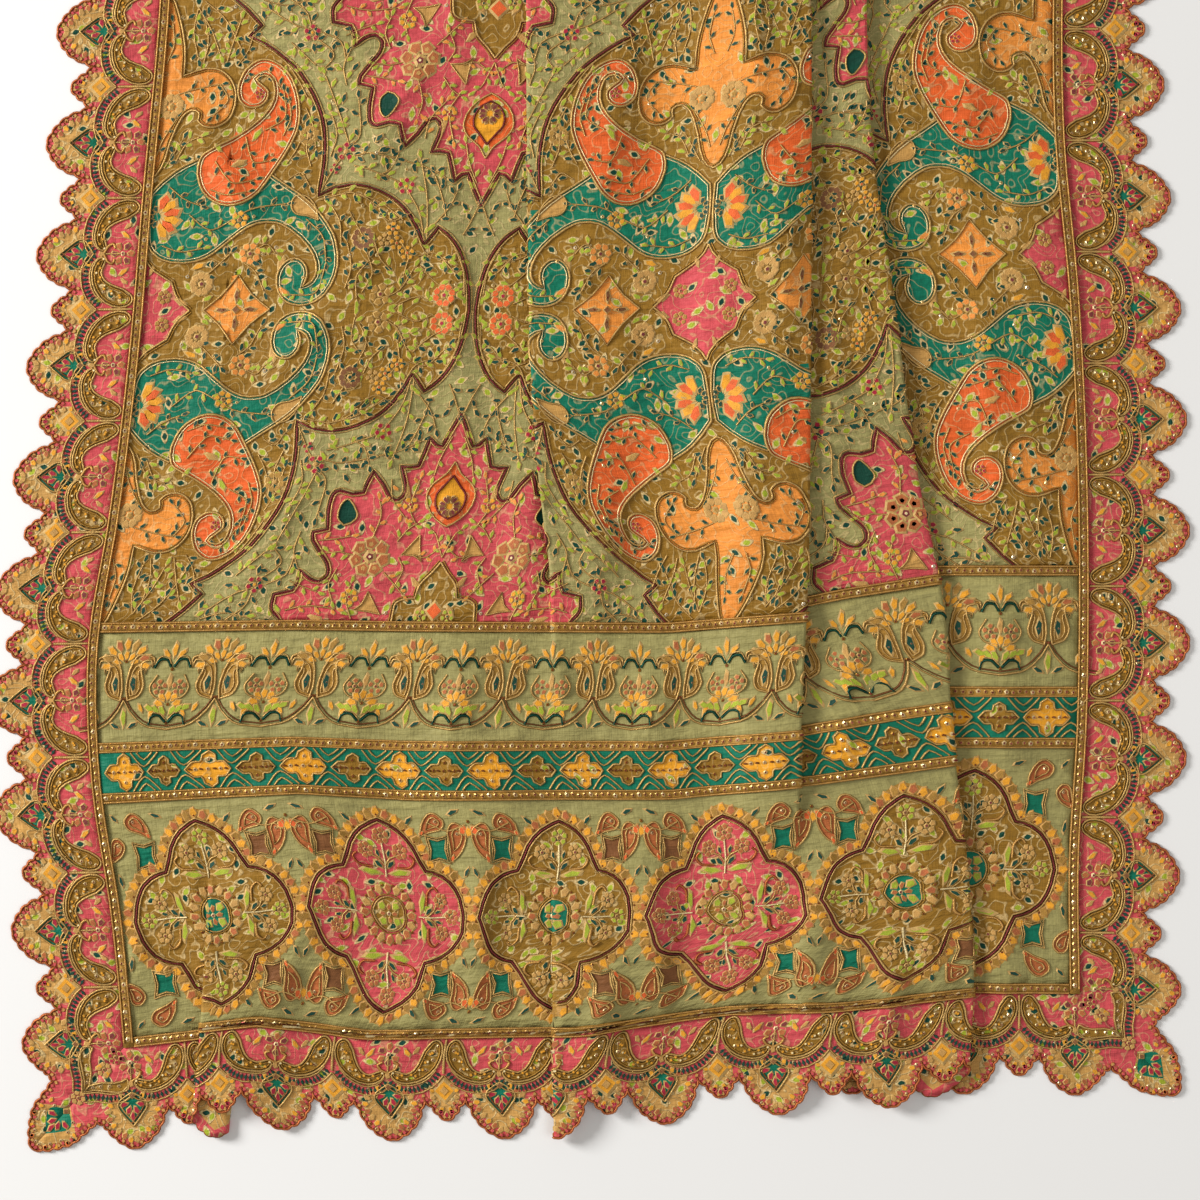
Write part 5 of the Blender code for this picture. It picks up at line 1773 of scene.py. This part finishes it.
def draw_border_half():
    """Half a repeat, from the middle of a big lobe to the middle of a small one."""
    half = Drawing()
    half.fill(closed_on_axis(GOLD_RING, -OVER), "beige")
    half.fill(closed_on_axis(SMALL_RING, HALF_PITCH + OVER), "beige")
    half.fill(closed_on_axis(DROP, -OVER), "teal")
    half.fill(COMMA, "brown", "zari", 1.5)
    half.cord(offset(COMMA, 1.7, True), "antique", 1.2, True)
    half.cord(DROP, "zari", 1.4)
    half.cord(offset(DROP, 2.0), "copper", 1.2)
    half.rope(ROPE, -1)
    beads = smooth([(2, 25.5), (8, 27.5), (15, 27.5), (22, 23), (26, 16.5), (29, 10)], 3.0)
    places, _ = spaced(beads, 3.1)
    for i, (x, y) in enumerate(places):
        sway = 1.1 if i % 2 else -1.1
        half.form("bead", x, y + sway, 0.0, 2.9, 2.9, "antique", "gold" if i % 3 else "bright", 1.2)
    for x, y in ((30, 11.5), (29, 17), (24.5, 23.5), (31.5, 8)):
        half.sequin(x, y, 2.7, "bright", "maroon")
    petals = offset(GOLD_RING, 0.2)[2:]
    half.beads_on(petals, 4.6, "petal", 6.0, 4.6, "zari", ("gold", "rust", "beige"))
    ring = offset(GOLD_RING, -3.4)[2:-1]
    for i, (x, y) in enumerate(spaced(ring, 5.2)[0]):
        if x > 0.8:
            half.sequin(x, y, 2.6, "bright" if i % 2 else "antique", "maroon")
    half.picots(HALF_EDGE)
    half.petals(0, 38.5, 4, 9.5, 4.4, "red", "zari", 0.2, UP, 2.6)
    half.leaf(0, 43.0, UP, 9, 4.4, "red", "zari")
    half.form("block", 0, 34.2, 0.0, 5.0, 5.0, "zari", "copper", 0.9)
    half.form("block", 36, 37, 0.0, 17.5, 17.5, "zari", "gold", 0.7)
    half.form("block", 36, 37, 0.0, 8.0, 8.0, "antique", "beige", 1.1)
    half.sequin(36, 37, 3.0, "bright", "maroon")
    small = offset(SMALL_RING, -1.6)[2:-1]
    half.beads_on(small, 4.4, "petal", 4.8, 3.8, "zari", ("rust", "gold", "beige"))
    half.petals(36, 48.5, 3, 6.8, 4.2, "red", "zari", 0.2, UP, 2.2)
    half.petals(0, 13, 6, 8.4, 5.2, ("maroon", "rust"), "zari", 0.25, UP)
    half.form("bead", 0, 13, 0.0, 3.4, 3.4, "bright", "maroon", 1.2)
    half.cord(smooth([(0, 24), (0.3, 19), (0, 14)], 3.0), "zari", 1.3)
    half.cord(smooth([(0.5, 25), (4.5, 23.0), (6.5, 19.5), (3.5, 18)], 2.5), "beige", 2.0)
    half.leaf(9, 8, 0.9, 9.5, 4.4, "gold")
    half.leaf(15.5, 13.5, -0.9, 7.0, 3.8, "beige")
    half.form("petal", 0, 26.5, UP, 5.5, 4.5, "zari", "beige", 1.0)
    half.cord(smooth([(36, 4), (35.8, 14), (35.9, 26)], 4.0), "zari", 1.6)
    return half


border_half = draw_border_half()
border_outline = np.concatenate((HALF_EDGE, [(HALF_PITCH, EDGE_SHY), (0, EDGE_SHY)]))


# %% Half a corner, from the first big lobe to the diagonal
CORNER_EDGE = ((-66.5, 66.5, 1), (-59.5, 67.5, 1), (-53, 66.8, 1), (-46.5, 65.5, 1), (-40, 63.5, 1),
               (-34.5, 59, 1), (-29, 54.5, 1), (-23.5, 50, 1), (-19, 52.5, 1), (-16.5, 56, 1),
               (-11.5, 61.5, 1), (-6, 65.5, 1), (0, 68, 1))
CORNER_HALF_EDGE = picot_edge(CORNER_EDGE)
DIAGONAL = math.pi * 0.75
HALF_RIGHT = math.pi / 4
TO_TIP = np.array((math.cos(DIAGONAL), math.sin(DIAGONAL)))


def draw_corner_middle():
    """What is sewn on the diagonal itself, so that it is made once at each corner."""
    middle = Drawing()
    middle.petals(*TO_TIP * 66.5, 4, 9.5, 4.4, "red", "zari", 0.2, DIAGONAL, 2.6)
    middle.leaf(*TO_TIP * 71, DIAGONAL, 9, 4.4, "red", "zari")
    middle.form("block", *TO_TIP * 61, DIAGONAL, 5.0, 5.0, "zari", "copper", 0.6)
    for distance, tone in ((13, "red"), (24, "beige"), (49, "beige")):
        middle.flower(*TO_TIP * distance, 5.2, 6, tone, "maroon")
    return middle


def draw_corner_half():
    """Half a corner, from its big lobe on the diagonal to the first one of the side."""
    corner = Drawing()
    for line, colour in ((GOLD_RING, "beige"), (DROP, "teal")):
        corner.fill(closed_on_axis(line, -OVER) * (-1, 1), colour)
        both_halves = np.concatenate((line, line[::-1] * (-1, 1)))
        corner.fill(turned(both_halves * (0.95, 1.0) + (0, 27), HALF_RIGHT), colour)
    arm = smooth([(-2.2, 30), (-9, 32), (-17, 31), (-24, 30), (-31, 31, 1), (-27, 27, 1), (-19, 25.5),
                  (-11, 26), (-6, 25), (-2.5, 23.5)], 3.0, True)
    corner.fill(arm, "brown", "zari", 1.5)
    rope = smooth([(-31, 35), (-23, 34.5), (-14, 36), (-6, 35), (-0.6, 30.5)], 3.0)
    corner.rope(rope, 1)
    for line, width in ((DROP, 1.4), (offset(DROP, 2.0), 1.2)):
        corner.cord(line * (-1, 1), "zari", width)
    for x, y in ((-8, 28), (-14, 28), (-20, 28), (-25, 28.5)):
        corner.sequin(x, y, 2.7, "bright", "maroon")
    ring = (GOLD_RING * (-1, 1))[2:]
    corner.beads_on(ring[::-1], 4.6, "petal", 6.0, 4.6, "zari", ("gold", "rust", "beige"))
    across = np.array((math.cos(HALF_RIGHT), math.sin(HALF_RIGHT)))
    for i, (a, e) in enumerate(((15, 69), (15.5, 76), (11.5, 82.5), (6, 87.5), (13, 62))):
        x, y = TO_TIP * e + across * a * 0.93
        corner.form("petal", x, y, DIAGONAL - 0.3 * (5 - i) + 0.4, 4.6, 3.6, "zari",
                    ("gold", "orange")[i % 2], 0.6)
        x, y = TO_TIP * (e + 1.5) + across * (a * 0.93 - 4.2)
        corner.sequin(x, y, 2.6, "bright", "maroon")
    corner.picots(CORNER_HALF_EDGE)
    corner.leaf(-12, 16, 2.2, 9, 4.4, "gold")
    return corner


corner_half = draw_corner_half()
corner_middle = draw_corner_middle()
corner_outline = np.concatenate((CORNER_HALF_EDGE, [(0, EDGE_SHY), (-EDGE_SHY, EDGE_SHY)]))
border_half.tell("border half repeat")

# %% [markdown]
# ## Lay the field
# The quarter repeat is cut once along its colours and then set 32 times.

# %% The field's ground
FLAT_TURN = ((1, 0), (0, 1))
COARSE_GRID = 18.0
FINE_GRID = 10.5
FINE_QUARTERS = 8
SILK_TOP = WALL / 2
# How much of each colour is covered with the material's small leaves and curls.
FIELD_WORK = {"sage": 0.38, "brown": 0.46, "pink": 0.36, "teal": 0.34, "orange": 0.36, "apricot": 0.36}


def field_places():
    """Matrix and move of every quarter repeat, in millimetres."""
    found = []
    for row in range(4):
        axis = PANEL + REPEAT_LONG * (2 * row + 1)
        for column in range(2):
            for across, seam in ((1, column), (-1, column + 1)):
                for down in (1, -1):
                    found.append((((across, 0), (0, down)), (2 * REPEAT_WIDE * seam, axis)))
    return found


repeat_outline = rectangle(0, 0, REPEAT_WIDE, REPEAT_LONG)
repeat_print = cut_print(repeat_outline, "sage", quarter.fills, COARSE_GRID)
finer_print = cut_print(repeat_outline, "sage", quarter.fills, COARSE_GRID, FINE_GRID)
places = field_places()
field_parts = set_at(finer_print, places[:FINE_QUARTERS]) + set_at(repeat_print, places[FINE_QUARTERS:])
field = lay_ground("field_silk", field_parts, SILK_TOP, WALL, "field", FIELD_WORK)

# %% The field's embroidery, near half and far half
LEAVES_SEEN_ONLY = 60.0
middle = len(places) // 2
on_field = []
for half, part in (("near", places[:middle]), ("far", places[middle:])):
    on_field += sew_on("field", half, set_at(quarter, part), SILK_TOP, "leaves",
                       LEAVES_SEEN_ONLY)

# %% [markdown]
# ## Lay the end panels and their ribbons
# The far end is the near one turned round, so one drawing serves both.

# %% End panels, ribbons and their cross tapes
NEAR = (FLAT_TURN, (0.0, 0.0))
FAR = (((1, 0), (0, -1)), (0.0, LONG))
GAP = SEAM_GAP * 1000 / 2
HALF_TAPE = TAPE_WIDTH * 500
TAPE_INSIDE = HALF_TAPE + SEAM_GAP * 1000
RIBBON_TOP = WALL / 2 + SEAM_GAP + TAPE_THICK
RIBBON_GRID = 9.5
TAPE_GRID = 6.5
PANEL_WORK = {"brown": 0.6, "pink": 0.45}
RIBBON_WORK = {"gold": 0.3, "brown": 0.3}
panel_outline = rectangle(GAP, GAP, WIDE - GAP, PANEL - GAP)
ribbon_outline = rectangle(TAPE_INSIDE, RIBBON_LOW, WIDE - TAPE_INSIDE, RIBBON_HIGH)
tape_outline = rectangle(TAPE_INSIDE, -HALF_TAPE, WIDE - TAPE_INSIDE, HALF_TAPE)
ribbon_print = cut_print(ribbon_outline, "teal", ribbon.fills, RIBBON_GRID)
tape_print = cut_print(tape_outline, "antique", [], TAPE_GRID)
for end, place, grid in (("near", NEAR, FINE_GRID), ("far", FAR, COARSE_GRID)):
    panel_print = cut_print(panel_outline, "sage", panel.fills, grid)
    ground = lay_ground(f"pallu_silk_{end}", [(panel_print, *place)], SILK_TOP, WALL, f"pallu_{end}",
                        PANEL_WORK)
    on_panel = sew_on("pallu", end, [(panel, *place)], SILK_TOP, "leaves", LEAVES_SEEN_ONLY)
    strip = lay_ground(f"ribbon_silk_{end}", [(ribbon_print, *place)], RIBBON_TOP, TAPE_THICK,
                       f"strip_{end}", RIBBON_WORK)
    on_ribbon = sew_on("ribbon", end, [(ribbon, *place)], RIBBON_TOP,
                       discs=("disc", "leaf"))

# %% [markdown]
# ## Lay the border and the tapes
# Each side is a run of half repeats with half a corner at both ends.

# %% Border strips
BORDER_GRID = 9.0
BORDER_WORK = {"pink": 0.35, "brown": 0.6, "apricot": 0.5, "beige": 0.8}
PETALS_SEEN_ONLY = 30.0
half_print = cut_print(border_outline, "pink", border_half.fills, BORDER_GRID)
corner_print = cut_print(corner_outline, "pink", corner_half.fills, BORDER_GRID)
# Matrix, start and repeats of each side.
SIDES = {
    "left": (((0, -1), (1, 0)), (0.0, 0.0), PITCHES_ALONG),
    "right": (((0, 1), (1, 0)), (WIDE, 0.0), PITCHES_ALONG),
    "near": (((1, 0), (0, -1)), (0.0, 0.0), PITCHES_ACROSS),
    "far": (((1, 0), (0, 1)), (0.0, LONG), PITCHES_ACROSS),
}


def border_places(side):
    """Places of the half repeats and of the two half corners of one side."""
    turn, start, pitches = SIDES[side]
    turn, start = np.array(turn, dtype=float), np.array(start)
    length = pitches * PITCH * 1000
    halves = []
    for i in range(pitches + 1):
        for way in (1, -1):
            at = i * PITCH * 1000
            if 0 <= at + way * HALF_PITCH / 2 <= length:
                halves.append((turn @ np.diag((way, 1)), turn @ (at, 0) + start))
    corners = [(turn, start), (turn @ np.diag((-1, 1)), turn @ (length, 0) + start)]
    return halves, corners


def cut_size(parts):
    """Width and length of a strip made of flat prints, and its area, in metres."""
    corners = np.concatenate([(points @ np.array(matrix, dtype=float).T + move)[faces]
                              for (points, faces, _), matrix, move in parts]) / 1000
    size = corners.max(axis=(0, 1)) - corners.min(axis=(0, 1))
    ahead, aside = corners[:, 1] - corners[:, 0], corners[:, 2] - corners[:, 0]
    area = np.abs(ahead[:, 0] * aside[:, 1] - ahead[:, 1] * aside[:, 0]).sum() / 2
    return (float(size[0]), float(size[1])), float(area)


borders = {}
for side in SIDES:
    halves, corners = border_places(side)
    parts = set_at(half_print, halves) + set_at(corner_print, corners)
    ground = lay_ground(f"border_silk_{side}", parts, SILK_TOP, WALL, f"border_{side}",
                        BORDER_WORK)
    drawings = set_at(border_half, halves) + set_at(corner_half, corners)
    if side in ("near", "far"):
        drawings += set_at(corner_middle, corners)
    on_border = sew_on("border", side, drawings, SILK_TOP, "petals", PETALS_SEEN_ONLY,
                       fine_discs=PETALS_SEEN_ONLY)
    borders[side] = (ground, on_border, *cut_size(parts))

# %% Gold tapes over the seams
UPRIGHT = ((0, -1), (1, 0))
side_outline = rectangle(-HALF_TAPE, -HALF_TAPE, HALF_TAPE, LONG + HALF_TAPE)
side_print = cut_print(side_outline, "antique", [], TAPE_GRID)
for name, x, y in (("left", 0.0, 0.0), ("right", WIDE, 0.0), ("hem_near", 0.0, 0.0),
                   ("hem_far", 0.0, LONG), ("cross_near", 0.0, PANEL),
                   ("cross_far", 0.0, LONG - PANEL)):
    if name in ("left", "right"):
        flat_print, row = side_print, (along_tape, UPRIGHT, (x, y))
    else:
        flat_print, row = tape_print, (across_tape, FLAT_TURN, (x + ROW_MARGIN, y))
    tape = lay_ground(f"gold_tape_{name}", [(flat_print, FLAT_TURN, (x, y))], RIBBON_TOP, TAPE_THICK,
                      f"tape_{name}", material=TAPE_WEAVE)
    [tape] + sew_on("tape", name, [row], RIBBON_TOP)

# %% [markdown]
# ## What is cut from cloth
# The field, the end panels and the border strips are sheets. The size that each border strip
# was cut to, and its area, are printed here.

for side, (ground, on_border, size, area) in borders.items():
    print("border strip:", [round(x, 4) for x in size], "m, area", round(area, 4))

# %% [markdown]
# ## Floor, light and camera
# A pale floor, a large soft window-like light from the upper left with a weaker one opposite,
# and a camera straight above, framed as in the photograph.

# %% Floor
pale = Finish("pale_floor")
pale.shader.inputs["Base Color"].default_value = (0.78, 0.77, 0.75, 1.0)
pale.surface(Roughness=0.9)
floor_mesh = bpy.data.meshes.new("floor")
bm = bmesh.new()
bmesh.ops.create_grid(bm, x_segments=1, y_segments=1, size=6.0)
bm.to_mesh(floor_mesh)
bm.free()
floor = placed("floor", floor_mesh)
floor_mesh.materials.append(pale.material)


# %% Lights
VIEW_X, VIEW_Y = 0.0079, -0.813


def area_light(name, place, size, power):
    """A round lamp that points at the middle of the view."""
    light = bpy.data.lights.new(name, "AREA")
    light.shape = "DISK"
    light.size = size
    light.energy = power
    lamp = placed(name, light)
    lamp.location = place
    aim = Vector((VIEW_X, VIEW_Y, 0)) - Vector(place)
    lamp.rotation_euler = aim.to_track_quat("-Z", "Y").to_euler()


area_light("window", (-3.0, 0.2, 1.6), size=1.25, power=175)
area_light("fill", (1.6, -1.6, 2.2), size=1.8, power=16)
world = bpy.data.worlds.new("soft_room")
bpy.context.scene.world = world
world.use_nodes = True
background = world.node_tree.nodes["Background"]
background.inputs["Color"].default_value = (1.0, 0.975, 0.94, 1.0)
background.inputs["Strength"].default_value = 0.38

# %% Plain view of the colours
bpy.context.scene.view_settings.view_transform = "Standard"

# %% Camera
VIEW_SIDE = 0.776
CAMERA_HEIGHT = 1.7
SENSOR = 36.0
camera = bpy.data.cameras.new("camera")
camera.sensor_width = SENSOR
camera.lens = SENSOR * CAMERA_HEIGHT / VIEW_SIDE
camera.clip_end = 50.0
viewer = placed("camera", camera)
viewer.location = (VIEW_X, VIEW_Y, CAMERA_HEIGHT)
bpy.context.scene.camera = viewer

# %% Finish
bpy.context.view_layer.update()
